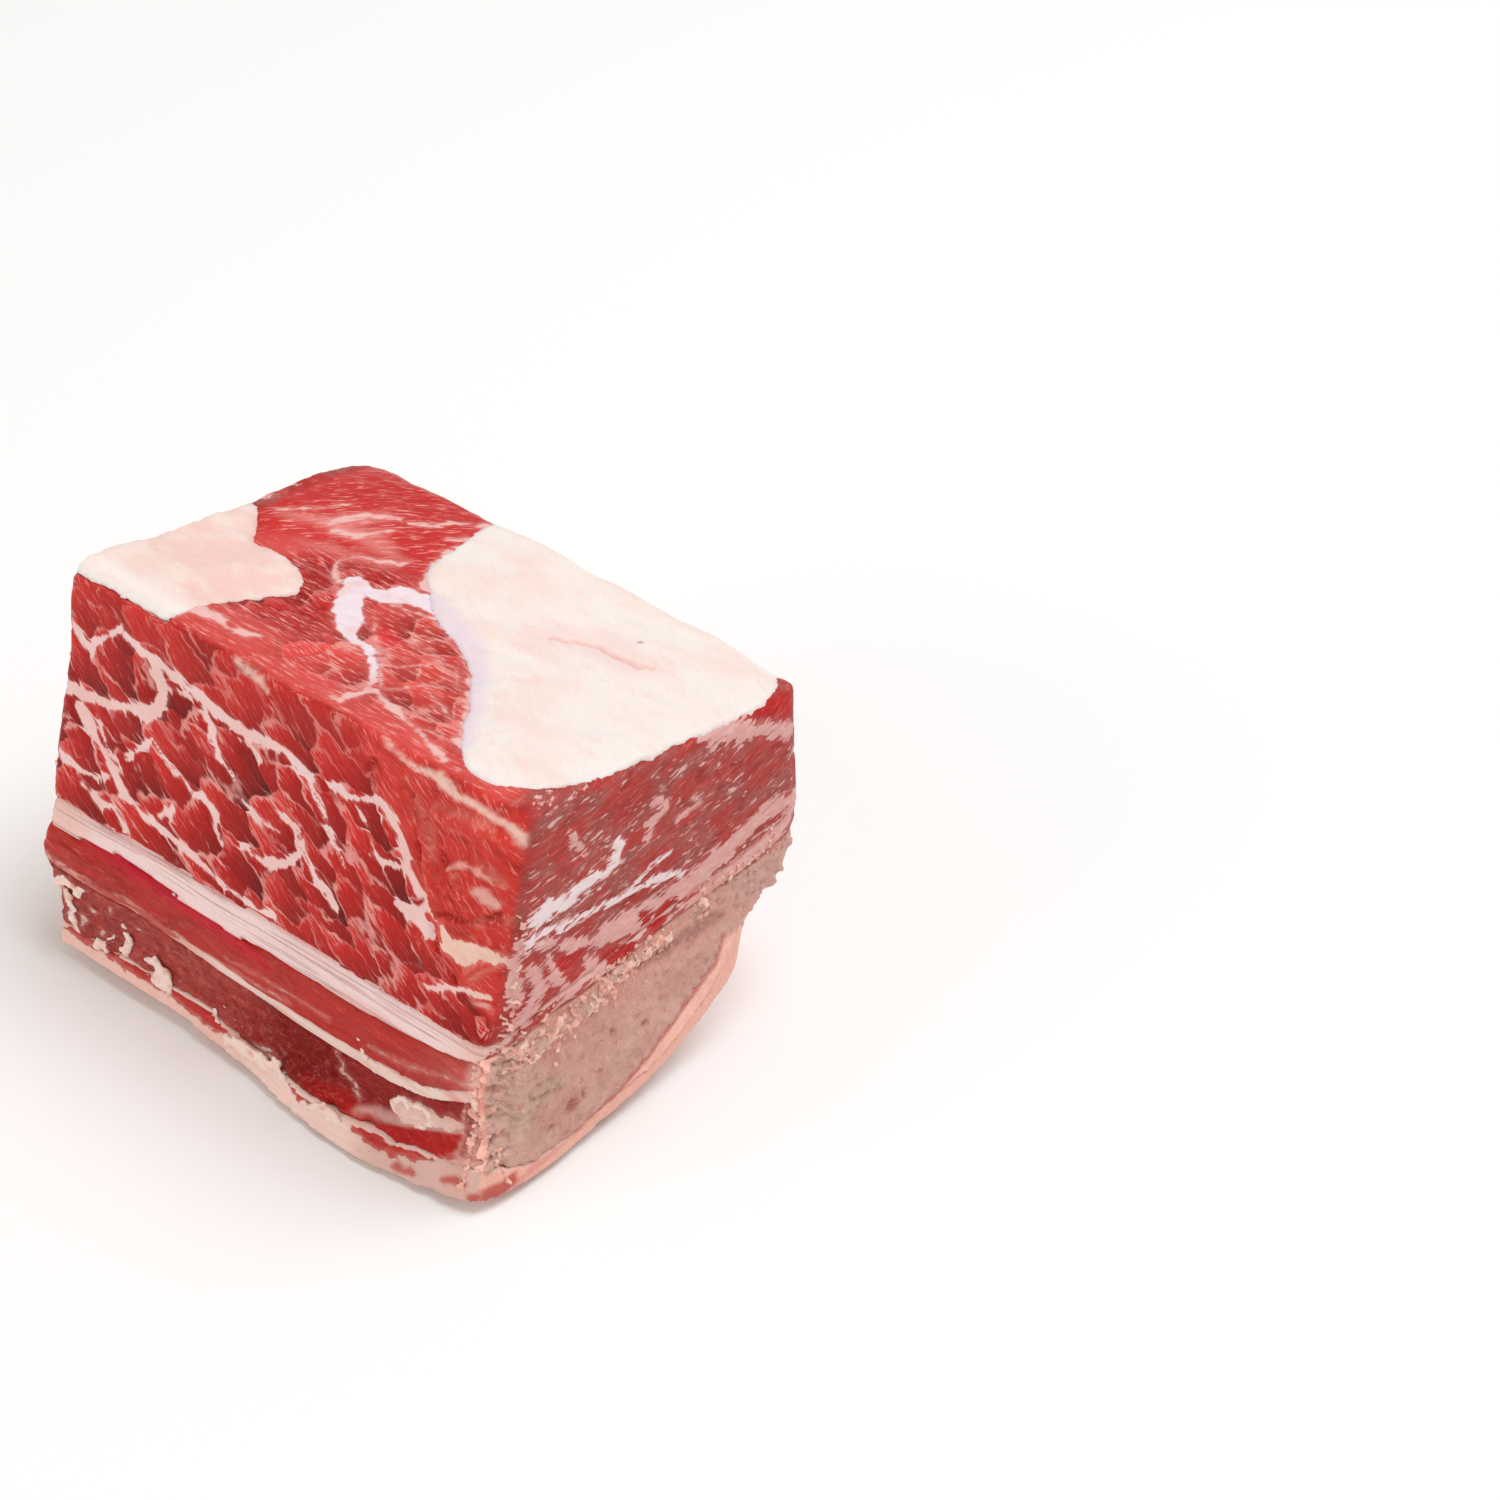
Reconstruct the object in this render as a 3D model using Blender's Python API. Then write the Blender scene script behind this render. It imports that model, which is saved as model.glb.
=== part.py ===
"""One piece of raw beef short rib, sawn across the bone at both ends.

Everything is laid out in a plain block frame before the piece is tilted: X runs along the rib bone
between the two saw cuts, Y runs across from the layered knife cut at y = 0 to the hidden side, and Z
is height, with the top at z = 0. Each layer is first filled in as a straight block. Then all of them
go through the same bulges and rounded edges, so they keep meeting each other all the way through.
"""
import math

import bmesh
import bpy
from mathutils import Matrix, Vector, noise

MM = 0.001

# Overall size of the piece
LENGTH = 76 * MM             # along the bone: a three inch saw cut
WIDTH = 50.5 * MM            # across the top
SIDE_SWELL = 0.075           # how much wider the piece is at the bone than at the top
SWELL_DEPTH = 21 * MM        # depth at which it is that wide
TILT = math.radians(-10.6)   # it leans away from the layered side as it lies on the curved bone
GROUND = -56.0 * MM          # height of the table in the tilted frame
GAP = 0.3 * MM               # between pieces that touch

# Heights on the layered side, as (distance along the bone, height) pairs in millimetres
SEAM_TOP = ((0, -34.3), (30, -34.2), (76, -34.2))
SEAM_FOOT = ((0, -38.0), (10, -37.2), (30, -38.4), (60, -38.3), (76, -36.2))
FAT_LINE_TOP = ((0, -41.6), (14, -42.4), (25, -44.4), (50, -45.2), (62, -43.8), (76, -40.4))
FAT_LINE_FOOT = ((0, -42.7), (14, -43.6), (25, -45.7), (50, -47.0), (62, -45.5), (76, -41.6))
MEMBRANE_TOP = ((0, -52.3), (20, -51.8), (32, -53.0), (52, -54.0), (62, -53.2), (76, -50.6))
LOWER_EDGE = ((0, -54.8), (20, -54.6), (38, -55.8), (54, -56.8), (66, -56.2), (76, -55.0))
WAVER = 0.35 * MM            # how far a layer wanders up and down along the cut
WAVER_SIZE = 6 * MM

# Heights across the piece, as (distance from the layered side, height) pairs in millimetres
SEAM_RISE = ((0, 0.0), (5, 4.2), (12, 6.2), (20, 7.8), (34, 11.6), (50, 16.4))
BONE_TOP_RISE = ((0, 0.0), (5, 4.4), (12, 6.4), (20, 8.2), (34, 11.6), (50, 15.0))
UNDERSIDE_RISE = (
    (0, 0.0), (10, 1.2), (19, 3.6), (26, 6.0), (32, 9.4), (37, 13.8), (41, 20.6), (46, 27.2), (50, 30.9),
)
BELLY = 7.0 * MM             # how much deeper the bone is in its middle than at the near saw cut
BELLY_AT_FAR_CUT = 0.45      # share of it that is left at the far saw cut
BELLY_ALONG = (16 * MM, 42 * MM, 74 * MM)             # full between the first two, gone at the last
BELLY_ACROSS = (-2 * MM, 26 * MM, 36 * MM, 48 * MM)   # starts, is full between the middle two, is gone

# The rib strips lie on the layered side of the bone and thin out towards both saw cuts
STRIP_DEPTH = ((0, 5.0), (20, 7.0), (52, 6.6), (66, 3.4), (73, 1.4), (76, 1.1))
RIND = 2.1 * MM              # thickness of the membrane under the bone
RIND_GAIN = 0.35             # share that it gains on the far side of the bone, and where
RIND_GAINS_OVER = (28 * MM, 40 * MM)
RIND_LOSS = 0.5              # share that it then loses up to its end
RIND_END = 44.5 * MM         # distance across the piece at which it stops
RIND_EDGE_WIDTH = 9 * MM     # width over which it follows the height of the cut at the layered side

# The two fat patches on the top, as (x, y) corners of their outlines in millimetres
CAP_OUTLINE = (
    (28.5, 33), (26, 40), (26.5, 54), (50, 56), (70, 55), (71.5, 48.6), (73.2, 45.6), (74.3, 40), (74.2, 26),
    (74, 14), (72.6, 6.5), (69.6, 2.9), (64.5, 2.4), (59, 6.6), (54, 13.2), (48.8, 19), (43, 23), (36, 26.2),
)
PATCH_OUTLINE = (
    (-3, -3), (-4, 12), (-3, 28), (1, 28.4), (4.4, 26), (8.2, 21.6), (13, 21.4), (18, 20.4), (20.2, 17.4),
    (18.4, 12.6), (17, 6), (15.6, -1), (14, -4), (6, -5),
)
OUTLINE_STEPS = 3            # points on the smooth line from one corner to the next
CUTTER_REACH = 10 * MM       # how far a cutter reaches above and below the top
PATCH_DEPTH = 3.4 * MM
PATCH_RIM = 1.1 * MM         # depth where a patch runs out over an edge of the block
PATCH_RIM_WIDTH = 6 * MM
PATCH_CROWN = 0.5 * MM       # how far a patch stands proud of the lean round it
CROWN_REACH = 4 * MM

# Bulges and hollows in millimetres: (centre, centre, reach, reach, how far it stands out)
LAYERED_SIDE_FORMS = (
    (4, -41, 11, 4, 1.5),        # lip of the upper rib lean
    (36, -48.5, 28, 4.2, -2.2),  # groove of the lower rib lean
    (55, -57, 19, 3.6, 3.0),     # edge of the membrane
    (69, -19, 6, 9, 1.5),        # folded knob of lean
    (60, -8, 8, 4, -0.7),
    (52, -24, 14, 7, 0.7),
    (20, -12, 18, 7, 0.7),
    (14, -27, 12, 5, 0.5),
)
SAWN_FACE_FORMS = (
    (0, -40, 3.2, 11, -2.8),     # dropped edge beside the bone
    (24, -40, 16, 8, 0.5),       # the bone stands a little proud of the meat
    (30, -10, 18, 6, 0.6),
    (16, -23, 12, 5, -0.6),
)
FAR_FACE_FORMS = (
    (4, -32, 20, 18, 2.6),
    (0, -42, 8, 3.5, 1.1),       # end of the lip
    (2, -50, 10, 3, -0.6),
    (4, -3, 12, 10, 1.0),
    (34, -14, 14, 9, 0.8),
)
TOP_FORMS = (
    (10, 40, 15, 11, 1.8),       # hump at the back corner
    (30, 50, 14, 8, 0.9),
    (30, 16, 16, 9, -0.5),
    (8, 8, 10, 12, 0.3),
)
HIDDEN_SIDE_FORMS = (
    (20, -12, 16, 8, 0.9),
    (52, -14, 16, 9, 0.8),
    (38, -26, 30, 3, -0.6),
    (54, -1, 24, 7, 0.9),
)
FORM_REACH = 10 * MM         # how deep into the block a bulge is still felt
UNEVENNESS = 0.45 * MM
UNEVEN_SIZE = 8 * MM

# Rounded outer edges: (axis, side), (axis, side) and radius in millimetres; side 0 is the low one
ROUNDED_EDGES = (
    ((0, 0), (1, 0), 1.2),
    ((0, 1), (1, 0), 2.2),
    ((0, 1), (1, 1), 5.0),
    ((0, 0), (1, 1), 8.0),
    ((1, 0), (2, 1), 1.4),
    ((0, 1), (2, 1), 1.8),
    ((1, 1), (2, 1), 2.8),
    ((0, 0), (2, 1), 1.4),
)
BLOCK_FACES = ((0, LENGTH), (0, WIDTH), (-1, 0))

# Cuts of the straight block: rows across it in millimetres, and fractions of its length and height
MIDDLE_ROWS = (12, 15.5, 19, 22.5, 26, 29, 32, 35, 38, 41, 44.5)
LEAN_ROWS = (0, 0.7, 2.3, 5, 8) + MIDDLE_ROWS + (47.3, 49.4, 50.5)
SEAM_ROWS = (0, 2.3, 5, 8) + MIDDLE_ROWS + (47.3, 50.5)
BONE_ROWS = (0, 4, 8) + MIDDLE_ROWS + (44.8, 45.3, 47.3, 49.6)
MEMBRANE_ROWS = (0, 2.6, 5, 8) + MIDDLE_ROWS
STRIP_ROWS = (0, 1.4, 3.6, 6)
BONE_SETTLES = 12 * MM       # past this the bone's rows are the same as those of its neighbours
END_CUTS = (0.011, 0.033)    # fractions at which both ends of a side are cut once more
CUTS_ALONG = 23
LEAN_FLOORS = 9
SEAM_FLOORS = 2
BONE_FLOORS = 4
MERGE = 0.001 * MM           # points closer than this are one
SHARP_EDGE = math.radians(35)

COLOURS = {
    "marbled_lean": ((0.43, 0.035, 0.028), 0.42),
    "seam_fat": ((0.83, 0.62, 0.57), 0.45),
    "upper_rib_lean": ((0.40, 0.025, 0.025), 0.40),
    "rib_fat_line": ((0.80, 0.55, 0.50), 0.45),
    "lower_rib_lean": ((0.30, 0.018, 0.016), 0.38),
    "rib_bone": ((0.58, 0.37, 0.30), 0.60),
    "rib_membrane": ((0.82, 0.50, 0.43), 0.40),
    "fat_cap": ((0.88, 0.76, 0.70), 0.45),
    "fat_patch": ((0.85, 0.66, 0.60), 0.45),
}


def ease(value, low, high):
    """Rises smoothly from 0 at low to 1 at high."""
    t = min(1.0, max(0.0, (value - low) / (high - low)))
    return t * t * (3 - 2 * t)


def read_line(pairs, position):
    """Reads a smooth line through (position, height) pairs in millimetres at a position in metres."""
    at = position / MM
    last = len(pairs) - 1
    if at <= pairs[0][0]:
        return pairs[0][1] * MM
    for i in range(last):
        (x0, z0), (x1, z1) = pairs[i], pairs[i + 1]
        if at > x1:
            continue
        before, after = pairs[max(i - 1, 0)], pairs[min(i + 2, last)]
        leave = (z1 - before[1]) / (x1 - before[0]) * (x1 - x0)
        arrive = (after[1] - z0) / (after[0] - x0) * (x1 - x0)
        t = (at - x0) / (x1 - x0)
        height = (2 * t**3 - 3 * t**2 + 1) * z0 + (3 * t**2 - 2 * t**3) * z1
        return MM * (height + (t**3 - 2 * t**2 + t) * leave + (t**3 - t**2) * arrive)
    return pairs[-1][1] * MM


def waver(x, phase):
    return WAVER * noise.noise(Vector((x / WAVER_SIZE, phase, 0)))


def seam_top(x, y):
    return read_line(SEAM_TOP, x) + read_line(SEAM_RISE, y) + waver(x, 1)


def bone_top(x, y):
    return read_line(SEAM_FOOT, x) + read_line(BONE_TOP_RISE, y) + waver(x, 2)


def fat_line_top(x, y):
    return read_line(FAT_LINE_TOP, x) + waver(x, 3)


def fat_line_foot(x, y):
    return read_line(FAT_LINE_FOOT, x) + waver(x, 4)


def table_height(y):
    """Height of the table under a place on the tilted piece."""
    return (GROUND - math.sin(TILT) * y) / math.cos(TILT)


def belly(x, y):
    """How much deeper the bone is at a place than at the near saw cut."""
    full_from, full_to, gone = BELLY_ALONG
    along = BELLY_AT_FAR_CUT + (1 - BELLY_AT_FAR_CUT) * ease(x, 0, full_from)
    along *= 1 - ease(x, full_to, gone)
    starts, full_from, full_to, gone = BELLY_ACROSS
    return BELLY * along * ease(y, starts, full_from) * (1 - ease(y, full_to, gone))


def underside(x, y):
    """Lower face of the whole piece, flat where it lies on the table."""
    height = read_line(LOWER_EDGE, x) + read_line(UNDERSIDE_RISE, y) - belly(x, y)
    return max(height, table_height(y * (1 + SIDE_SWELL)))


def rind_thickness(y):
    """Thickness of the membrane, which grows on the far side of the bone and then runs out."""
    gains_from, gains_to = RIND_GAINS_OVER
    grown = RIND * (1 + RIND_GAIN * ease(y, gains_from, gains_to))
    return grown * (1 - RIND_LOSS * ease(y, gains_to, RIND_END))


def membrane_top(x, y):
    """Upper face of the membrane, which widens to a band along the layered side."""
    under_bone = underside(x, y) + rind_thickness(y)
    at_cut = read_line(MEMBRANE_TOP, x) + 2 * waver(x, 5)
    return under_bone + (at_cut - under_bone) * (1 - ease(y, 0, RIND_EDGE_WIDTH))


def bone_foot(x, y):
    """Lower face of the bone, which steps down to the surface past the end of the membrane."""
    if y < RIND_END + 2 * GAP:
        return membrane_top(x, min(y, RIND_END)) + GAP
    return underside(x, y)


def raised(surface, offset):
    return lambda x, y: surface(x, y) + offset


def form_push(forms, u, v):
    """Sum of the soft bulges and hollows of one face at a place on it."""
    push = 0.0
    for centre_u, centre_v, reach_u, reach_v, height in forms:
        away = ((u / MM - centre_u) / reach_u) ** 2 + ((v / MM - centre_v) / reach_v) ** 2
        push += height * MM * math.exp(-away)
    return push


def unevenness(x, y, z, phase):
    return UNEVENNESS * noise.noise(Vector((x, y, z)) / UNEVEN_SIZE + Vector((phase, 0, 0)))


def felt(depth):
    """How much of a face's bulge is felt at a depth below that face."""
    return 1 - ease(depth, 0, FORM_REACH)


def round_edges(point):
    """Pulls the outer edges of the straight block in to quarter circles."""
    for (axis_a, side_a), (axis_b, side_b), radius in ROUNDED_EDGES:
        radius *= MM
        out_a, out_b = 2 * side_a - 1, 2 * side_b - 1
        u = 1 + out_a * (point[axis_a] - BLOCK_FACES[axis_a][side_a]) / radius
        v = 1 + out_b * (point[axis_b] - BLOCK_FACES[axis_b][side_b]) / radius
        if u > 0 and v > 0:
            point[axis_a] += out_a * radius * u * (math.sqrt(1 - v * v / 2) - 1)
            point[axis_b] += out_b * radius * v * (math.sqrt(1 - u * u / 2) - 1)


def shape(x, y, z):
    """Carries a point of the straight block to its place in the real, uneven piece."""
    layered = form_push(LAYERED_SIDE_FORMS, x, z) + unevenness(x, 0, z, 3)
    hidden = form_push(HIDDEN_SIDE_FORMS, x, z) + unevenness(x, WIDTH, z, 5)
    sawn = form_push(SAWN_FACE_FORMS, y, z) + unevenness(LENGTH, y, z, 7)
    far = form_push(FAR_FACE_FORMS, y, z) + unevenness(0, y, z, 9)
    top = form_push(TOP_FORMS, x, y) + unevenness(x, y, 0, 11)
    point = Vector((x, y, z))
    round_edges(point)
    point.y *= 1 + SIDE_SWELL * ease(-z, 0, SWELL_DEPTH)
    point.x += sawn * felt(LENGTH - x) - far * felt(x)
    point.y += hidden * felt(WIDTH - y) - layered * felt(y)
    point.z += top * felt(-z)
    point.z = max(point.z, table_height(point.y))
    return point


def even(count):
    return [i / count for i in range(1, count)]


def cuts_with_close_ends(count, both_ends):
    """Even cuts, and closer ones at the high end, or at both ends, where the edges are rounded."""
    first, second = END_CUTS
    low = second if both_ends else 0.0
    middle = [low + (1 - second - low) * i / count for i in range(1, count)]
    return ([first, second] if both_ends else []) + middle + [1 - second, 1 - first]


def cut_block(along, across, up):
    """A unit cube, cut right through at the given fractions of its three sides."""
    mesh = bmesh.new()
    bmesh.ops.create_cube(mesh, size=1, matrix=Matrix.Translation((0.5, 0.5, 0.5)))
    for axis, fractions in enumerate((along, across, up)):
        normal = Vector((0, 0, 0))
        normal[axis] = 1
        for fraction in fractions:
            everything = mesh.verts[:] + mesh.edges[:] + mesh.faces[:]
            place = normal * fraction
            bmesh.ops.bisect_plane(mesh, geom=everything, dist=1e-7, plane_co=place, plane_no=normal)
    return mesh


def layer(rows, place_row, up, foot, roof):
    """Fills the room between two heights with a cut block, whose rows lie across the piece."""
    mesh = cut_block(cuts_with_close_ends(CUTS_ALONG, True), even(len(rows) - 1), up)
    for vertex in mesh.verts:
        a, b, c = vertex.co
        x = LENGTH * a
        y = place_row(x, rows[round(b * (len(rows) - 1))] * MM)
        low, high = foot(x, y), roof(x, y)
        vertex.co = (x, y, low + (high - low) * c)
    return mesh


def as_given(x, row):
    return row


def beside_strips(x, row):
    """Place of a row of the bone, which starts behind the rib strips."""
    if row >= BONE_SETTLES:
        return row
    start = read_line(STRIP_DEPTH, x)
    return start + row * (1 - start / BONE_SETTLES)


def within_strip(x, row):
    """Place of a row of a rib strip, whose rows are given for a strip of ordinary depth."""
    return (read_line(STRIP_DEPTH, x) - GAP) * row / (STRIP_ROWS[-1] * MM)


def outline_points(corners, margin):
    """A smooth closed line through an outline's corners, moved outwards by the margin."""
    count = len(corners)
    points = []
    for i in range(count):
        p0, p1, p2, p3 = (Vector(corners[(i + k) % count]) * MM for k in (-1, 0, 1, 2))
        for step in range(OUTLINE_STEPS):
            t = step / OUTLINE_STEPS
            bend = (2 * p0 - 5 * p1 + 4 * p2 - p3) * t**2 + (3 * p1 - p0 - 3 * p2 + p3) * t**3
            points.append((2 * p1 + (p2 - p0) * t + bend) / 2)
    area = sum(a.cross(b) for a, b in zip(points, points[1:] + points[:1]))
    moved = []
    for i, point in enumerate(points):
        ahead = (points[(i + 1) % len(points)] - points[i - 1]).normalized()
        moved.append(point + math.copysign(margin, area) * Vector((ahead.y, -ahead.x)))
    return moved


def outline_distance(points, x, y):
    """Distance from a place on the top to the nearest stretch of an outline."""
    here = Vector((x, y))
    nearest = LENGTH
    for start, end in zip(points, points[1:] + points[:1]):
        side = end - start
        t = min(1.0, max(0.0, (here - start).dot(side) / side.length_squared))
        nearest = min(nearest, (here - start - side * t).length)
    return nearest


def add_object(name, mesh, collection):
    data = bpy.data.meshes.new(name)
    mesh.to_mesh(data)
    mesh.free()
    item = bpy.data.objects.new(name, data)
    collection.objects.link(item)
    return item


def prism(name, points, cutters):
    """The upright prism over an outline, tall enough to pass through a whole patch."""
    outline = bpy.data.curves.new(name, "CURVE")
    outline.dimensions = "2D"
    outline.fill_mode = "BOTH"
    outline.extrude = CUTTER_REACH
    spline = outline.splines.new("POLY")
    spline.points.add(len(points) - 1)
    for spot, point in zip(spline.points, points):
        spot.co = (point.x, point.y, 0, 1)
    spline.use_cyclic_u = True
    curve = bpy.data.objects.new(name + "_outline", outline)
    cutters.objects.link(curve)
    bpy.context.view_layer.update()
    filled = bpy.data.meshes.new_from_object(curve.evaluated_get(bpy.context.evaluated_depsgraph_get()))
    mesh = bmesh.new()
    mesh.from_mesh(filled)
    bmesh.ops.remove_doubles(mesh, verts=mesh.verts, dist=MERGE)
    bmesh.ops.recalc_face_normals(mesh, faces=mesh.faces)
    bpy.data.objects.remove(curve)
    bpy.data.meshes.remove(filled)
    return add_object(name, mesh, cutters)


def patch_floor(x, y):
    """Height of a fat patch's floor, which rises where the patch runs out over an outer edge."""
    edge = min(x, LENGTH - x, y, WIDTH - y)
    return -PATCH_RIM - (PATCH_DEPTH - PATCH_RIM) * ease(edge, 0, PATCH_RIM_WIDTH)


def carve(item, cutter, operation):
    """Applies one exact Boolean and removes its cutter."""
    cut = item.modifiers.new("cut", "BOOLEAN")
    cut.operation = operation
    cut.object = cutter
    bpy.context.view_layer.update()
    carved = bpy.data.meshes.new_from_object(item.evaluated_get(bpy.context.evaluated_depsgraph_get()))
    item.modifiers.clear()
    plain, item.data = item.data, carved
    bpy.data.meshes.remove(plain)
    bpy.data.objects.remove(cutter)


def make_pocket(name, corners, cutters):
    """The room that a fat patch takes in the lean, with a gap round it, open at the outer faces."""
    mesh = layer(LEAN_ROWS, as_given, [], raised(patch_floor, -GAP), lambda x, y: PATCH_DEPTH)
    for vertex in mesh.verts:
        for axis, size in enumerate((LENGTH, WIDTH)):
            if min(vertex.co[axis], size - vertex.co[axis]) < GAP:
                vertex.co[axis] += math.copysign(GAP, vertex.co[axis] - size / 2)
    pocket = add_object(name + "_pocket", mesh, cutters)
    carve(pocket, prism(name + "_wider_prism", outline_points(corners, GAP), cutters), "INTERSECT")
    return pocket


def make_patch(name, corners, lean, parts, cutters):
    """Lets one fat patch into the top of the lean, with its middle a little proud."""
    points = outline_points(corners, 0)
    patch = add_object(name, layer(LEAN_ROWS, as_given, [], patch_floor, lambda x, y: 0.0), parts)
    carve(patch, prism(name + "_prism", points, cutters), "INTERSECT")
    carve(lean, make_pocket(name, corners, cutters), "DIFFERENCE")
    for vertex in patch.data.vertices:
        x, y, z = vertex.co
        if z > -GAP:
            vertex.co.z += PATCH_CROWN * ease(outline_distance(points, x, y), 0, CROWN_REACH)
    finish(patch)


def finish(item):
    """Splits the faces into triangles, shapes the block to the real piece and gives it its colour."""
    mesh = bmesh.new()
    mesh.from_mesh(item.data)
    bmesh.ops.remove_doubles(mesh, verts=mesh.verts, dist=MERGE)
    bmesh.ops.triangulate(mesh, faces=mesh.faces)
    for vertex in mesh.verts:
        vertex.co = shape(*vertex.co)
    mesh.to_mesh(item.data)
    mesh.free()
    colour, roughness = COLOURS[item.name]
    material = bpy.data.materials.new(item.name)
    material.use_nodes = True
    shader = material.node_tree.nodes["Principled BSDF"]
    shader.inputs["Base Color"].default_value = (*colour, 1)
    shader.inputs["Roughness"].default_value = roughness
    item.data.materials.clear()
    item.data.materials.append(material)
    item.data.shade_smooth()
    item.data.set_sharp_from_angle(angle=SHARP_EDGE)


def make_marbled_lean(parts, cutters):
    floors = cuts_with_close_ends(LEAN_FLOORS, False)
    mesh = layer(LEAN_ROWS, as_given, floors, raised(seam_top, GAP), lambda x, y: 0.0)
    lean = add_object("marbled_lean", mesh, parts)
    make_patch("fat_cap", CAP_OUTLINE, lean, parts, cutters)
    make_patch("fat_patch", PATCH_OUTLINE, lean, parts, cutters)
    finish(lean)


def make_rib_strips(parts):
    """The lean between the ribs, parted by a thin line of fat, on the layered side of the bone."""
    strips = (
        ("upper_rib_lean", 3, raised(fat_line_top, GAP), raised(bone_top, -GAP)),
        ("rib_fat_line", 1, fat_line_foot, fat_line_top),
        ("lower_rib_lean", 4, raised(membrane_top, GAP), raised(fat_line_foot, -GAP)),
    )
    for name, floors, foot, roof in strips:
        finish(add_object(name, layer(STRIP_ROWS, within_strip, even(floors), foot, roof), parts))


def make_seam_bone_and_membrane(parts):
    seam = layer(SEAM_ROWS, as_given, even(SEAM_FLOORS), bone_top, seam_top)
    bone = layer(BONE_ROWS, beside_strips, even(BONE_FLOORS), bone_foot, raised(bone_top, -GAP))
    membrane = layer(MEMBRANE_ROWS, as_given, [], underside, membrane_top)
    finish(add_object("seam_fat", seam, parts))
    finish(add_object("rib_bone", bone, parts))
    finish(add_object("rib_membrane", membrane, parts))


def tilt_and_set_down(parts):
    """Leans the piece over on its curved bone, with its box centred over the origin on the table."""
    pieces = list(parts.objects)
    stand = bpy.data.objects.new("stand", None)
    parts.objects.link(stand)
    stand.rotation_euler = (TILT, 0, 0)
    for piece in pieces:
        piece.parent = stand
    bpy.context.view_layer.update()
    corners = [piece.matrix_world @ vertex.co for piece in pieces for vertex in piece.data.vertices]
    low = Vector([min(corner[axis] for corner in corners) for axis in range(3)])
    high = Vector([max(corner[axis] for corner in corners) for axis in range(3)])
    stand.location = (-(low.x + high.x) / 2, -(low.y + high.y) / 2, -low.z)


def main():
    for item in list(bpy.data.objects):
        bpy.data.objects.remove(item)
    parts = bpy.data.collections.new("raw_beef_short_rib")
    cutters = bpy.data.collections.new("cutters")
    for collection in (parts, cutters):
        bpy.context.scene.collection.children.link(collection)
    make_marbled_lean(parts, cutters)
    make_rib_strips(parts)
    make_seam_bone_and_membrane(parts)
    tilt_and_set_down(parts)
    bpy.data.collections.remove(cutters)


main()
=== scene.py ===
import math
import random

import bmesh
import bpy
import numpy as np
from mathutils import Euler, Matrix, Vector, noise


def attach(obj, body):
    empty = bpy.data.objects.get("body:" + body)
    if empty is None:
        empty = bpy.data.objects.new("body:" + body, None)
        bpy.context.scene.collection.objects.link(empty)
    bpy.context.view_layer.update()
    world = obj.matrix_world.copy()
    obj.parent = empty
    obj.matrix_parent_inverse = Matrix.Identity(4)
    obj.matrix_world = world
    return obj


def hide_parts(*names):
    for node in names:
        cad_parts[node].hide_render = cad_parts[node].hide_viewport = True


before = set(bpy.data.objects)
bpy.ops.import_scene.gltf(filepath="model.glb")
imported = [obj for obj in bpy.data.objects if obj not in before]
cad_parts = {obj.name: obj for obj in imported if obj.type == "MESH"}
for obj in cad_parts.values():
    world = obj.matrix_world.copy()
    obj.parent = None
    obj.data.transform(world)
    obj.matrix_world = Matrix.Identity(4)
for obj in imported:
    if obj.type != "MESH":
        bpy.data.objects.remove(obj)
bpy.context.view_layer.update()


# The rib bone runs through the block from one cut to the other. Both its ends are sawn, which leaves
# a damp, mealy pink face with a crumbly ridge of bone meal where the blade went from flesh to bone.
# Round the cut faces it lies hidden, apart from a strip of its far flank.
MM = 0.001
BLOCK_CORNER = Vector((-36.86, -18.68, 56.00)) * MM
BLOCK_LEAN = math.radians(-10.6)
BLOCK_LENGTH = 76.0
BONE_GRAIN = 0.42
BONE_SWELL = 0.22
BONE_LIP = 0.9
# Stripes that show on the cuts, each point as across, up and width in millimetres of the block's frame.
BONE_RIDGE = (
    (2.4, -35.8, 1.9), (4.0, -35.0, 2.3), (6.7, -34.4, 2.2), (9.3, -33.3, 1.9), (12.1, -32.7, 1.6),
    (14.8, -32.0, 1.5), (16.8, -30.6, 1.6), (18.9, -29.5, 1.8), (21.1, -29.1, 1.4), (24.2, -28.9, 1.1),
    (27.0, -28.8, 0.8), (29.7, -28.2, 0.6))
BONE_RIDGE_BEHIND = (
    (33.0, -27.0, 0.6), (35.0, -25.8, 1.5), (35.1, -23.8, 1.9), (37.3, -22.8, 2.4), (39.7, -22.2, 2.6),
    (42.7, -22.1, 2.4), (45.2, -20.9, 2.0), (48.0, -20.0, 1.4))
BONE_CRACK = ((38.2, -23.4, 0.3), (40.8, -23.2, 0.35), (43.5, -23.4, 0.3), (44.6, -22.0, 0.2))
BONE_GROOVE = ((24.2, -30.2, 1.0), (28.0, -30.0, 1.5), (33.3, -29.3, 1.6), (38.9, -28.7, 1.2))
BONE_YELLOW = ((5.1, -44.8, 2.9), (6.3, -42.3, 2.9), (8.6, -41.7, 2.4), (11.2, -41.3, 1.5))
BONE_PITS = (
    (15.6, -45.2, 0.7), (13.7, -46.0, 1.6), (10.7, -47.8, 0.6), (10.2, -48.3, 0.5), (26.0, -38.8, 0.8),
    (19.5, -37.7, 0.7), (17.8, -42.6, 0.5), (3.4, -36.2, 0.8))
BONE_RED_LINE = (
    (5.1, -53.6, 0.4), (9.3, -52.4, 0.5), (13.6, -51.0, 0.5), (18.0, -49.8, 0.6), (22.4, -47.8, 0.6),
    (26.1, -45.0, 0.6), (30.0, -41.7, 0.6), (34.6, -38.6, 0.6), (38.9, -35.2, 0.5), (39.6, -31.7, 0.5))


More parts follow.
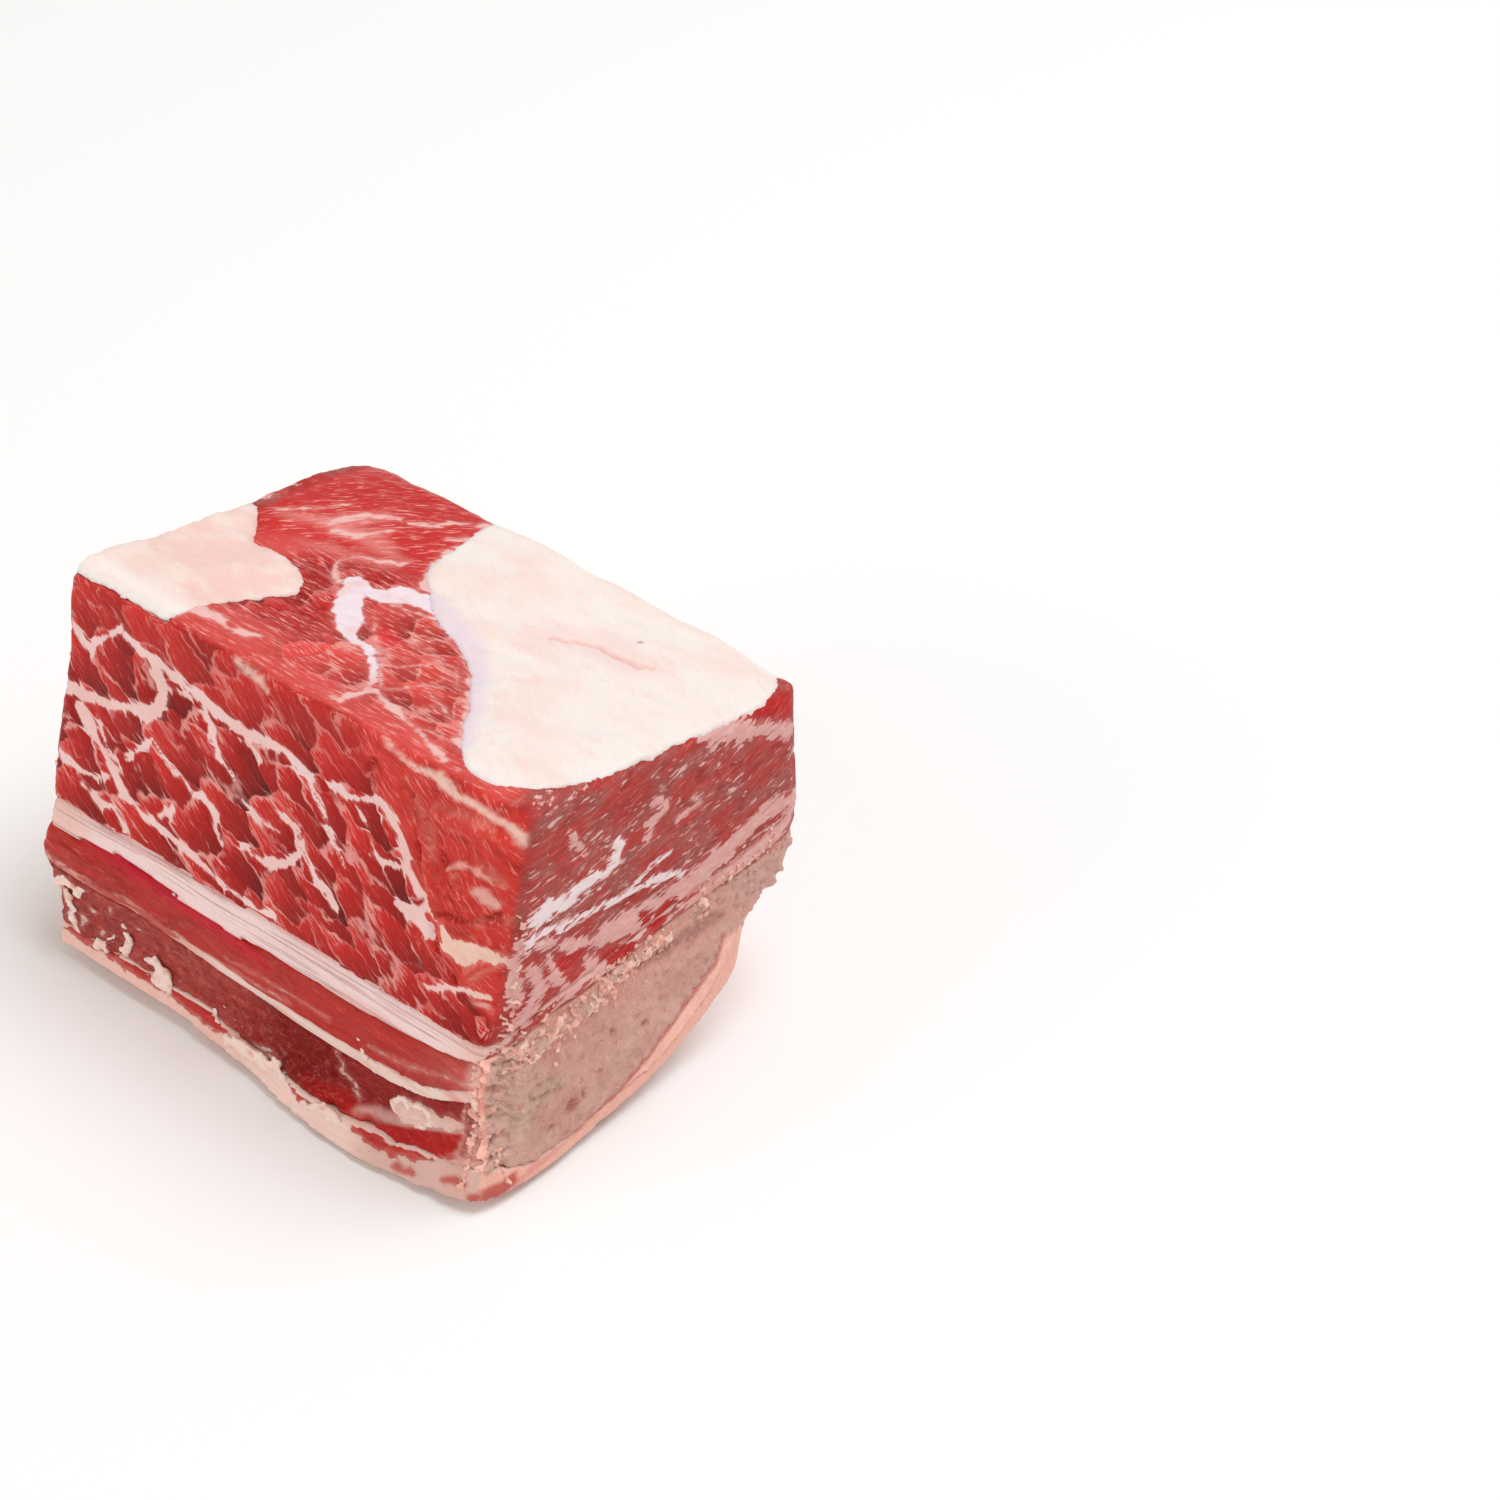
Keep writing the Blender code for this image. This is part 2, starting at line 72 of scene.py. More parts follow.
def tone(red, green, blue):
    """A colour as the eye reads it on a screen, 0 to 255, made linear for the renderer."""
    shares = np.array((red, green, blue)) / 255
    return ((shares + 0.055) / 1.055) ** 2.4


BONE_PINK = tone(238, 168, 152)
BONE_PALE = tone(250, 199, 182)
BONE_GREY = tone(196, 136, 128)
BONE_RED = tone(180, 76, 64)
BONE_CREAM = tone(226, 198, 172)
BONE_SKIN = tone(218, 146, 136)
BONE_LINE = tone(214, 112, 98)
BONE_CLEAR = tone(242, 186, 174)
BONE_RIM = tone(248, 184, 168)
BONE_OLIVE = tone(172, 128, 108)


def set_down(name, data):
    """A new object of the scene that holds the data."""
    thing = bpy.data.objects.new(name, data)
    bpy.context.scene.collection.objects.link(thing)
    return thing


def fine_copy(node, name, grain, rounds):
    """The solid again under a fine even skin, so that the real surface can be worked into it."""
    skin = bmesh.new()
    skin.from_mesh(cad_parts[node].data)
    bmesh.ops.remove_doubles(skin, verts=skin.verts, dist=0.01 * MM)
    return evened(skin, name, grain, rounds)


def evened(skin, name, grain, rounds):
    """A closed shape made into one piece with even faces of the grain's size, its edges eased."""
    data = bpy.data.meshes.new(name)
    skin.to_mesh(data)
    skin.free()
    piece = set_down(name, data)
    evening = piece.modifiers.new("even skin", "REMESH")
    evening.mode = "VOXEL"
    evening.voxel_size = grain * MM
    easing = piece.modifiers.new("eased edges", "SMOOTH")
    easing.factor = 0.5
    easing.iterations = rounds
    fine = bpy.data.meshes.new_from_object(piece.evaluated_get(bpy.context.evaluated_depsgraph_get()))
    piece.modifiers.clear()
    piece.data = fine
    bpy.data.meshes.remove(data)
    fine.name = name
    return piece


def vectors(source, key):
    """The points or the normals of a mesh as an array of three columns."""
    values = np.zeros(len(source) * 3, np.float32)
    source.foreach_get(key, values)
    return values.reshape(-1, 3).astype(float)


BLOCK_TURN = np.array(Matrix.Rotation(BLOCK_LEAN, 3, "X"))


def in_block(piece):
    """The piece's points in millimetres of the block's own frame: along the rib, across it, and up."""
    return (vectors(piece.data.vertices, "co") - np.array(BLOCK_CORNER)) @ BLOCK_TURN / MM


def from_block(along, across, up):
    """A place in the block's own frame as a point of the scene. The block's top is at 0 up."""
    return BLOCK_CORNER + Matrix.Rotation(BLOCK_LEAN, 3, "X") @ Vector((along, across, up)) * MM


def facing(piece, sharpness=6):
    """How much each point looks to the near cut, far cut, far flank, near flank, top and underside."""
    normals = vectors(piece.data.vertices, "normal") @ BLOCK_TURN
    x, y, z = normals.T
    sides = {"near_cut": x, "far_cut": -x, "far_flank": y, "near_flank": -y, "top": z, "under": -z}
    shares = {side: np.clip(value, 0, 1) ** sharpness for side, value in sides.items()}
    whole = sum(shares.values())
    return {side: share / whole for side, share in shares.items()}


def ripple(places, sizes, seed, detail=0):
    """Soft noise of about -1 to 1 with bumps as large as sizes, and finer ones on them for each detail."""
    points = (places / np.array(sizes) + seed * 7.31).tolist()
    if detail:
        return np.array([noise.fractal(point, 0.9, 2.1, detail + 1) for point in points])
    return np.array([noise.noise(point) for point in points]) * 1.6


def beside(across, up, *lines):
    """How far each point lies outside the stripes, which are points with their widths. Inside is negative."""
    nearest = np.full(len(across), 99.0)
    for line in lines:
        for (u, v, wide), (next_u, next_v, next_wide) in zip(line, line[1:]):
            du, dv = next_u - u, next_v - v
            share = np.clip(((across - u) * du + (up - v) * dv) / (du * du + dv * dv), 0, 1)
            gap = np.hypot(across - u - share * du, up - v - share * dv)
            nearest = np.minimum(nearest, gap - (wide + share * (next_wide - wide)) / 2)
    return nearest


def rise(values, low, high):
    """0 below low, 1 above high, and a smooth climb between them."""
    share = np.clip((values - low) / (high - low), 0, 1)
    return share * share * (3 - 2 * share)


def inside(across, up, low, high, *lines):
    """1 inside the stripes and 0 outside them, with a soft border from low to high millimetres outside."""
    return 1 - rise(beside(across, up, *lines), low, high)


def between(values, start, full, fading, end):
    """0 below start, 1 from full to fading, and 0 again above end, with smooth climbs."""
    return rise(values, start, full) * (1 - rise(values, fading, end))


def mixed(first, second, share):
    """Colour first turning into colour second by share, for every point."""
    return first + (second - first) * np.asarray(share)[:, None]


def painted(tint, *coats):
    """The tint with one coat of colour after another laid over it, each by its share at every point."""
    for colour, share in coats:
        tint = mixed(tint, colour, share)
    return tint


def drawn(piece, axis, lengths):
    """Moves every point along the scene's X, 0, or Y, 1, by its length in millimetres."""
    places = vectors(piece.data.vertices, "co")
    places[:, axis] += lengths * MM
    piece.data.vertices.foreach_set("co", places.astype(np.float32).ravel())


def swell(piece, heights):
    """Moves every point out along its normal by its height in millimetres."""
    places = vectors(piece.data.vertices, "co")
    normals = vectors(piece.data.vertices, "normal")
    places += normals * np.asarray(heights)[:, None] * MM
    piece.data.vertices.foreach_set("co", places.astype(np.float32).ravel())
    piece.data.update()


def note(piece, **kept):
    """Keeps numbers and colours on the points of the piece, for its material to read. A single number or
    colour is kept on all of them."""
    count = len(piece.data.vertices)
    for name, values in kept.items():
        if np.ndim(values) == 2 or np.shape(values) == (3,):
            layer = piece.data.attributes.new(name, "FLOAT_VECTOR", "POINT")
            whole = np.broadcast_to(np.asarray(values, np.float32), (count, 3))
            layer.data.foreach_set("vector", whole.ravel())
        else:
            layer = piece.data.attributes.new(name, "FLOAT", "POINT")
            layer.data.foreach_set("value", np.broadcast_to(np.asarray(values, np.float32), count).ravel())


class Wire:
    """An output of a node. Sums on it add Math nodes, and node() adds any other kind to the same material."""

    def __init__(self, tree, socket=None):
        self.tree = tree
        self.socket = socket

    def node(self, kind, settings, sockets, output=0):
        """Adds a node with these settings and with values or wires in its sockets."""
        made = self.tree.nodes.new(kind)
        for name, value in settings.items():
            setattr(made, name, value)
        for name, value in sockets.items():
            entry = made.inputs[name]
            if isinstance(value, Wire):
                self.tree.links.new(value.socket, entry)
            elif entry.type == "RGBA":
                entry.default_value = (*value, 1.0)
            else:
                entry.default_value = value
        return Wire(self.tree, made.outputs[output])

    def maths(self, operation, first, second):
        """Adds a Math node."""
        return self.node("ShaderNodeMath", {"operation": operation}, {0: first, 1: second})

    def __add__(self, other):
        return self.maths("ADD", self, other)

    def __radd__(self, other):
        return self.maths("ADD", other, self)

    def __sub__(self, other):
        return self.maths("SUBTRACT", self, other)

    def __rsub__(self, other):
        return self.maths("SUBTRACT", other, self)

    def __mul__(self, other):
        return self.maths("MULTIPLY", self, other)

    def __rmul__(self, other):
        return self.maths("MULTIPLY", other, self)

    def rise(self, low, high):
        """0 below low, 1 above high, and a smooth climb between them."""
        ends = {"Value": self, "From Min": low, "From Max": high}
        return self.node("ShaderNodeMapRange", {"interpolation_type": "SMOOTHSTEP"}, ends)

    def kept(self, name):
        """A number that note() kept on the points."""
        return self.node("ShaderNodeAttribute", {"attribute_name": name}, {}, "Fac")

    def kept_colour(self, name):
        """A colour that note() kept on the points."""
        return self.node("ShaderNodeAttribute", {"attribute_name": name}, {}, "Color")

    def blend(self, first, second, share):
        """Colour first turning into colour second by share."""
        return self.node("ShaderNodeMix", {"data_type": "RGBA"}, {0: share, 6: first, 7: second}, 2)

    def scaled(self, colour, factor):
        """A colour made darker or lighter by a factor."""
        return self.node("ShaderNodeVectorMath", {"operation": "SCALE"}, {0: colour, "Scale": factor})

    def block_places(self):
        """The block's own frame in millimetres, from the object's coordinates."""
        flat = self.node("ShaderNodeTexCoord", {}, {}, "Object")
        block = {"Location": BLOCK_CORNER, "Rotation": (BLOCK_LEAN, 0, 0), "Scale": (MM, MM, MM)}
        return self.node("ShaderNodeMapping", {"vector_type": "TEXTURE"}, {"Vector": flat} | block)

    def grain(self, sizes, detail=2.0, turn=(0, 0, 0), rough=0.55, wander=0.0):
        """Noise of about 0 to 1 whose bumps have these sizes in millimetres, turned in the block's frame."""
        shape = {"Vector": self.block_places(), "Rotation": turn, "Scale": sizes}
        places = self.node("ShaderNodeMapping", {"vector_type": "TEXTURE"}, shape)
        look = {"Vector": places, "Scale": 1.0, "Detail": detail, "Roughness": rough, "Distortion": wander}
        return self.node("ShaderNodeTexNoise", {}, look)


def finish(name, colour_of, gloss, depth, soft=0.2, spread=(1.0, 0.45, 0.35)):
    """A material whose colour, roughness and height in millimetres come from colour_of(ink).
    Light goes depth millimetres into it, more so the softer it is."""
    material = bpy.data.materials.new(name)
    material.use_nodes = True
    tree = material.node_tree
    shader = tree.nodes["Principled BSDF"]
    shader.inputs["Specular IOR Level"].default_value = gloss
    shader.inputs["Subsurface Weight"].default_value = soft
    shader.inputs["Subsurface Radius"].default_value = spread
    shader.inputs["Subsurface Scale"].default_value = depth * MM
    ink = Wire(tree)
    colour, roughness, height = colour_of(ink)
    bump = ink.node("ShaderNodeBump", {}, {"Height": height, "Distance": MM, "Strength": 1.0})
    tree.links.new(colour.socket, shader.inputs["Base Color"])
    tree.links.new(roughness.socket, shader.inputs["Roughness"])
    tree.links.new(bump.socket, shader.inputs["Normal"])
    return material


def dress(piece, material, slot, *nodes):
    """Gives a finished piece its material and smooth faces, hangs it under the root, and hides the solids it
    stands for.
    """
    piece.data.materials.clear()
    piece.data.materials.append(material)
    piece.data.polygons.foreach_set("use_smooth", np.ones(len(piece.data.polygons), bool))
    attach(piece, "root")
    for node in nodes:
        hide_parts(node)


def bone_look(ink):
    """Mealy sawn bone: fine pores and crumbs, hardly any gloss."""
    meal = ink.grain((0.7, 0.7, 0.7), 5.0, rough=0.75)
    pores = ink.grain((1.3, 1.3, 1.3), 3.0, rough=0.7)
    smear = ink.grain((1.0, 6.0, 1.2), 3.0, turn=(math.radians(26), 0, 0))
    sawn = ink.kept("sawn")
    dark_pores = pores.rise(0.57, 0.70) * sawn * 0.36
    pale_meal = (meal * 0.7 + pores * 0.3).rise(0.51, 0.61) * sawn * 0.70
    clots = ink.grain((1.6, 2.6, 1.4), 3.0, turn=(math.radians(26), 0, 0), rough=0.7)
    colour = ink.scaled(ink.kept_colour("tint"), 0.60 + meal * 0.62 + smear * 0.26 + clots * 0.46)
    colour = ink.blend(colour, BONE_RED, dark_pores)
    colour = ink.blend(colour, BONE_PALE, pale_meal)
    height = (meal * 1.1 - pores.rise(0.55, 0.75) * 0.2 + clots * 0.4) * sawn + smear * 0.08
    return colour, 0.5 + sawn * 0.2, height


bone_finish = finish("sawn_bone", bone_look, gloss=0.2, depth=0.9)

bone = fine_copy("rib_bone", "cut_bone", BONE_GRAIN, 2)
places = in_block(bone)
shares = facing(bone)
along, across, up = places.T
across_wavy = across + 0.5 * ripple(places, (2, 2, 2), 3)
up_wavy = up + 0.4 * ripple(places, (2, 2, 2), 4)
sawn = rise(shares["near_cut"] + shares["far_cut"], 0.3, 0.7)
mottle = ripple(places, (7, 7, 5), 5, 2)
crumble = ripple(places, (1.1, 1.1, 1.1), 6, 1)
ridge = inside(across_wavy, up_wavy, -0.7, 0.5, BONE_RIDGE, BONE_RIDGE_BEHIND)
crack = inside(across_wavy, up_wavy, -0.1, 0.35, BONE_CRACK)
groove = inside(across, up, -0.6, 1.0, BONE_GROOVE)
yellow = inside(across_wavy, up_wavy, -0.8, 1.2, BONE_YELLOW)
red_line = inside(across, up, -0.2, 0.5, BONE_RED_LINE)
clear_rim = inside(across, up, 0.4, 2.6, BONE_RED_LINE) * shares["near_cut"]
outer = rise(np.interp(across, *np.array(BONE_RED_LINE).T[:2]) - up, 0.1, 0.8) * shares["near_cut"]
behind = rise(across, 33, 38) * rise(up + 0.6 * across, -5, 0)
pits = np.zeros(len(places))
for pit_across, pit_up, pit_size in BONE_PITS:
    away = np.hypot(across_wavy - pit_across, up_wavy - pit_up)
    pits = np.maximum(pits, 1 - rise(away, 0.2 * pit_size, pit_size))
face_tint = painted(
    BONE_PINK,
    (BONE_PALE, 0.7 * rise(-up + 0.45 * across + 4 * mottle, 30, 58)),
    (BONE_GREY, np.clip(0.35 * rise(mottle, 0.0, 0.6) + 0.85 * groove, 0, 1)),
    (BONE_CREAM, 0.7 * yellow),
    (BONE_OLIVE, 0.5 * yellow * rise(-crumble, -0.1, 0.5)),
    (BONE_PALE, 0.9 * np.maximum(ridge, 1 - rise(across, 3, 9))),
    (BONE_CLEAR, np.maximum(0.85 * clear_rim, 0.75 * behind)),
    (BONE_RIM, 0.9 * outer),
    (BONE_LINE, 0.75 * red_line * shares["near_cut"]),
    (BONE_RED, np.clip(0.6 * pits + 0.5 * crack, 0, 1) * sawn))
streaks = rise(ripple(places, (16, 3, 1.2), 13, 1), -0.3, 0.6)
bone_tint = painted(BONE_SKIN, (BONE_PALE, 0.7 * streaks), (face_tint, sawn))
note(bone, tint=bone_tint, sawn=sawn * (1 - 0.7 * outer))
edge = 1 - rise(across + 0.8 * crumble, 2.0, 5.0)
lift = (0.5 * edge + 0.35 * ridge + 0.25 * behind + 0.3 * yellow + 0.36) * (1 - 0.7 * outer) * crumble
lift += 0.3 * ridge - 0.35 * groove - 0.4 * crack - 0.45 * pits
lip = (1 - rise(across, 1.0, 4.0)) * rise(along, 70.8, 72.6) * (1 + 0.6 * crumble)
drawn(bone, 1, -BONE_LIP * lip)
swell(bone, BONE_SWELL + sawn * lift + 0.10 * mottle)
dress(bone, bone_finish, "bone", "rib_bone")


# Under the bone lies the rib's inner skin: a tough pale membrane with a layer of firm fat behind it,
# whose cut edge shows as a rind round the bone. The butcher's knife left its upper border ragged.
RIND_GRAIN = 0.4
RIND_SWELL = 0.24
RIND_CREAM = tone(246, 212, 202)
RIND_PINK = tone(232, 172, 160)
RIND_TIP = 42.0
RIND_CUT = tone(250, 190, 173)
RIND_WARM = tone(242, 196, 182)
RIND_RED = tone(190, 60, 52)
RIND_GREY = tone(214, 172, 160)
FLESH_RED = tone(190, 54, 48)
FLESH_PALE = tone(230, 152, 142)
FLESH_DEEP = tone(122, 28, 26)
# The membrane's upper border on the near flank, as along and up, and red marks as along, up and width.
RIND_BORDER = (
    (-3, -52.7), (6, -53.0), (12, -53.1), (20, -53.3), (27, -54.0), (29.7, -54.0), (31.7, -53.3),
    (34.2, -53.2), (36.8, -52.6), (40.4, -52.7), (43.9, -54.2), (46, -55.0), (48.7, -54.0), (50.8, -53.8),
    (54.6, -54.4), (58.3, -55.1), (61.4, -54.8), (65.6, -53.6), (71.2, -50.6), (79, -48.0))
RIND_MARKS = (
    ((62.6, -55.4, 0.5), (65.2, -55.3, 0.7)),
    ((70.0, -54.0, 0.6), (72.0, -53.2, 1.1), (73.0, -53.0, 0.4)),
    ((74.0, -54.6, 1.0), (76.5, -54.6, 1.4)),
)
CORNER_MARK = ((0.4, -54.3, 1.6), (2.4, -53.8, 1.8), (4.2, -53.1, 1.5), (4.5, -52.5, 0.7))


def rind_height(along):
    """How high the membrane's pale border reaches up the near flank."""
    return np.interp(along, *np.array(RIND_BORDER).T)


def flesh_look(ink):
    """Wet muscle with fine fibres along the rib, and fat where to_fat is below nothing."""
    turn = (0, math.radians(4), 0)
    fibres = ink.grain((5.0, 0.5, 0.45), 3.0, turn)
    bundles = ink.grain((9.0, 1.6, 1.2), 2.0, turn)
    fine = ink.grain((1.2, 0.25, 0.22), 2.0, turn)
    fray = ink.grain((1.6, 0.7, 0.6), 3.0, rough=0.7)
    edge = ink.kept("to_fat") + (fibres - 0.5) * 0.6 + (fray - 0.5) * 1.6
    in_fat = 1 - edge.rise(-0.10, 0.10)
    near_fat = (1 - edge.rise(0.0, 0.8)) * 0.35
    flesh = ink.scaled(ink.kept_colour("tint"), 0.37 + fibres * 0.50 + bundles * 0.45 + fine * 0.27)
    flesh = ink.blend(flesh, FLESH_PALE, (fibres * 0.6 + fine * 0.4).rise(0.57, 0.72) * 0.34)
    flesh = ink.blend(flesh, FLESH_PALE, near_fat)
    torn = ink.kept("torn")
    mince = ink.grain((1.5, 0.9, 0.9), 4.0, (0, math.radians(10), 0), rough=0.75)
    flesh = ink.blend(flesh, FLESH_PALE, (mince * 0.8 + fine * 0.2).rise(0.51, 0.68) * torn * 0.42)
    flesh = ink.blend(flesh, FLESH_DEEP, (1 - mince.rise(0.34, 0.48)) * torn * 0.36)
    fat = ink.scaled(ink.kept_colour("fat_tint"), 0.86 + fibres * 0.12 + fray * 0.14)
    colour = ink.blend(flesh, fat, in_fat)
    height = fibres * 0.18 + bundles * 0.25 + fine * 0.06 + fray * 0.1 + in_fat * 0.12 + mince * torn * 1.1
    return colour, 0.34 + in_fat * 0.12, height


flesh_finish = finish("rib_flesh", flesh_look, gloss=0.12, depth=1.0, spread=(1.0, 0.28, 0.22))

membrane = fine_copy("rib_membrane", "rib_skin", RIND_GRAIN, 2)
places = in_block(membrane)
shares = facing(membrane)
along, across, up = places.T
near_flank = rise(shares["near_flank"], 0.3, 0.7) * (1 - rise(across, 4, 8))
cut = rise(shares["near_cut"] + shares["far_cut"], 0.3, 0.7)
patches = ripple(places, (9, 7, 6), 11, 2)
fray = ripple(places, (1.6, 1.6, 1.1), 12, 2)
along_frayed = along + 0.5 * fray
across_frayed = across + 0.5 * fray
up_frayed = up + 0.4 * fray
fat_tint = painted(
    RIND_CREAM,
    (RIND_PINK, 0.7 * rise(patches, -0.1, 0.8)),
    (RIND_WARM, 0.8 * near_flank * (1 - rise(along, 26, 31))),
    (RIND_GREY, 0.7 * near_flank * rise(along, 54, 60)),
    (RIND_CUT, cut),
    (BONE_LINE, 0.4 * cut * inside(across, up, -0.1, 0.6, BONE_RED_LINE)),
    (RIND_RED, 0.8 * near_flank * inside(along_frayed, up_frayed, -0.2, 0.5, *RIND_MARKS)),
    (RIND_RED, 0.8 * shares["near_cut"] * inside(across_frayed, up_frayed, -0.2, 0.5, CORNER_MARK)))
height = up - rind_height(along) - 0.35 * fray
note(membrane, tint=FLESH_RED, fat_tint=fat_tint, to_fat=near_flank * height + (1 - near_flank) * -3)
lies_down = rise(-vectors(membrane.data.vertices, "normal")[:, 2], 0.45, 0.8)
bulge = np.exp(-((across - RIND_TIP) / 2.4) ** 2)
drawn(membrane, 1, -0.6 * np.clip(across - RIND_TIP, 0, 4))
swell(membrane, (RIND_SWELL + 0.12 * patches + 0.12 * near_flank * fray + 0.5 * bulge) * (1 - lies_down))
dress(membrane, flesh_finish, "membrane", "rib_membrane")


# On the near flank two strips of the muscle between the ribs lie over the bone, the upper one smooth
# and the lower one torn and darker, with a thin line of fat between them.
STRIP_GRAIN = 0.36
LINE_GRAIN = 0.3
STRIP_SWELL = 0.26
STRIP_RED = tone(186, 50, 43)
STRIP_DARK = tone(150, 36, 33)
STRIP_BRIGHT = tone(188, 30, 25)
STRIP_CRIMSON = tone(200, 22, 48)
STRIP_MAROON = tone(160, 58, 54)
STRIP_PAINTED_LIGHT = tone(206, 98, 90)
STRIP_FAT = tone(238, 196, 186)
STRIP_BONE_PINK = tone(226, 166, 154)
STRIP_END = 73.0
END_LINE = (
    (71.4, -38.0, 0.1), (71.9, -41.5, 0.5), (72.0, -43.5, 0.9), (72.0, -45.6, 0.8), (71.9, -47.6, 0.5),
    (71.7, -49.6, 0.2))
LINE_CREAM = tone(244, 218, 208)
LINE_PINK = tone(226, 158, 144)
# Stripes on the near flank, each point as along, up and width in millimetres.
UPPER_STAIN = (
    (3.0, -37.0, 0.6), (6.1, -37.4, 1.4), (12.0, -37.3, 2.0), (17.5, -37.7, 2.2), (23.1, -38.2, 2.2),
    (28.6, -38.8, 1.8), (33.7, -39.4, 1.0), (38.0, -40.0, 0.4))
UPPER_THREADS = (
    ((24.1, -44.6, 0.25), (31.7, -43.9, 0.3), (40.6, -43.9, 0.25)),
    ((30.3, -42.3, 0.2), (39.2, -42.2, 0.3), (47.9, -42.3, 0.2)),
    ((55.0, -42.6, 0.1), (62.0, -41.9, 0.3), (69.0, -40.0, 0.3), (75.0, -38.6, 0.3)),
)
LOWER_FAT = (
    ((59.8, -49.2, 1.6), (61.5, -49.0, 3.4), (63.6, -48.3, 3.4), (66.0, -47.6, 2.0), (70.5, -46.3, 1.3),
     (76.0, -45.0, 1.6)),
    ((48.0, -47.9, 0.2), (51.0, -50.0, 0.5), (54.0, -51.2, 0.2)),
    ((0.0, -46.0, 0.5), (1.4, -48.4, 0.7), (1.8, -50.4, 0.8)),
)
LOWER_PINK = (
    (54.0, -52.6, 0.6), (58.0, -51.4, 1.8), (63.0, -50.6, 1.2), (68.0, -47.9, 1.2), (76.0, -46.4, 1.2))
LOWER_SPECKS = (
    (5.5, -47.3, 1.0), (9.0, -45.6, 0.5), (4.0, -49.6, 1.2), (7.0, -50.4, 0.8), (13.5, -46.6, 0.4))
LOWER_BRIGHT = ((45.0, -52.6, 0.5), (50.0, -52.9, 1.6), (56.0, -53.2, 2.0))
LOWER_RED_LENS = (
    (54.6, -54.8, 0.3), (58.0, -53.9, 2.6), (61.1, -53.2, 3.4), (65.5, -51.8, 4.0), (71.0, -48.9, 3.2),
    (78.0, -46.8, 2.6))

upper = fine_copy("upper_rib_lean", "upper_strip", STRIP_GRAIN, 2)
places = in_block(upper)
shares = facing(upper)
along, across, up = places.T
waves = ripple(places, (6, 3, 1.6), 21, 1)
along_wavy = along + 0.6 * waves
up_wavy = up + 0.25 * waves
tint = painted(
    STRIP_RED,
    (STRIP_MAROON, 0.5 * rise(waves, 0.1, 0.9)),
    (STRIP_CRIMSON, 0.85 * inside(along_wavy, up_wavy, -0.6, 0.7, UPPER_STAIN)),
    (STRIP_BONE_PINK, 0.8 * rise(along_wavy, 70.6, 72.4) + 0.15 * rise(along, 60, 72)))
to_fat = beside(along_wavy, up_wavy, *UPPER_THREADS) + 0.15 - 0.5 * rise(along, 70.5, 72.5)
note(upper, tint=tint, fat_tint=STRIP_BONE_PINK, to_fat=to_fat, torn=0.35 * rise(waves, -0.3, 0.6))
swell(upper, STRIP_SWELL + 0.22 * waves + 0.1 * ripple(places, (2.5, 1, 0.8), 22))
dress(upper, flesh_finish, "rib_lean", "upper_rib_lean")

lower = fine_copy("lower_rib_lean", "lower_strip", STRIP_GRAIN, 2)
places = in_block(lower)
along, across, up = places.T
torn = ripple(places, (3.2, 2, 1.9), 24, 2)
along_wavy = along + 0.5 * torn
up_wavy = up + 0.45 * torn
end_line = inside(along + 0.2 * torn, up, -0.2, 0.4, END_LINE)
tint = painted(
    STRIP_RED,
    (STRIP_MAROON, np.clip(0.5 + 0.8 * torn, 0, 1)),
    (STRIP_DARK, 0.9 * rise(along, 34, 44)),
    # painted light: the left part of the lower strip is painted lighter against the shade of its recess
    (STRIP_PAINTED_LIGHT, 0.5 * (1 - rise(along, 28, 40))),
    (STRIP_DARK, 0.4 * (1 - rise(along, 10, 16)) * rise(torn, -0.3, 0.5)),
    (STRIP_BRIGHT, 0.9 * inside(along_wavy, up_wavy, -0.5, 1.0, LOWER_BRIGHT)),
    (STRIP_FAT, 0.6 * inside(along_wavy, up_wavy, -0.5, 0.6, LOWER_PINK)),
    (STRIP_BRIGHT, inside(along + 0.3 * torn, up + 0.2 * torn, -0.2, 0.2, LOWER_RED_LENS)),
    (STRIP_BONE_PINK, 0.85 * rise(along_wavy, 70.4, 71.9)),
    (STRIP_DARK, 0.8 * end_line))
to_fat = np.minimum(beside(along_wavy, up_wavy, *LOWER_FAT), up - rind_height(along) - 0.45 * torn)
for speck_along, speck_up, speck_size in LOWER_SPECKS:
    to_fat = np.minimum(to_fat, np.hypot(along_wavy - speck_along, up_wavy - speck_up) - speck_size / 2)
fat_tint = painted(
    STRIP_FAT,
    (RIND_CREAM, rise(ripple(places, (2, 2, 2), 25), -0.3, 0.6)),
    (STRIP_BONE_PINK, rise(along, 69.5, 71.5)))
note(lower, tint=tint, fat_tint=fat_tint, to_fat=to_fat + 1.5 * end_line, torn=1 - 0.6 * rise(along, 46, 54))
lump = inside(along, up, -1.6, 0.6, LOWER_FAT[0])
swell(lower, STRIP_SWELL + 0.36 * torn + 0.8 * lump + 0.15 * ripple(places, (1.2, 1, 0.8), 26))
dress(lower, flesh_finish, "rib_lean", "lower_rib_lean")

line_of_fat = fine_copy("rib_fat_line", "strip_of_fat", LINE_GRAIN, 2)
places = in_block(line_of_fat)
along, across, up = places.T
waves = ripple(places, (8, 2, 1.2), 27, 1)
start_of_line = 1 - rise(along + 3 * waves, 17, 29)
fat_tint = painted(
    LINE_CREAM,
    (LINE_PINK, 0.6 * rise(waves, -0.2, 0.7) + 0.4 * rise(along, 66, 71)),
    (LINE_PINK, start_of_line))
to_fat = -0.6 + 0.9 * start_of_line * rise(waves, -0.6, 0.4)
note(line_of_fat, tint=STRIP_RED, fat_tint=fat_tint, to_fat=to_fat)
swell(line_of_fat, STRIP_SWELL + 0.12 * waves)
dress(line_of_fat, flesh_finish, "fat", "rib_fat_line")


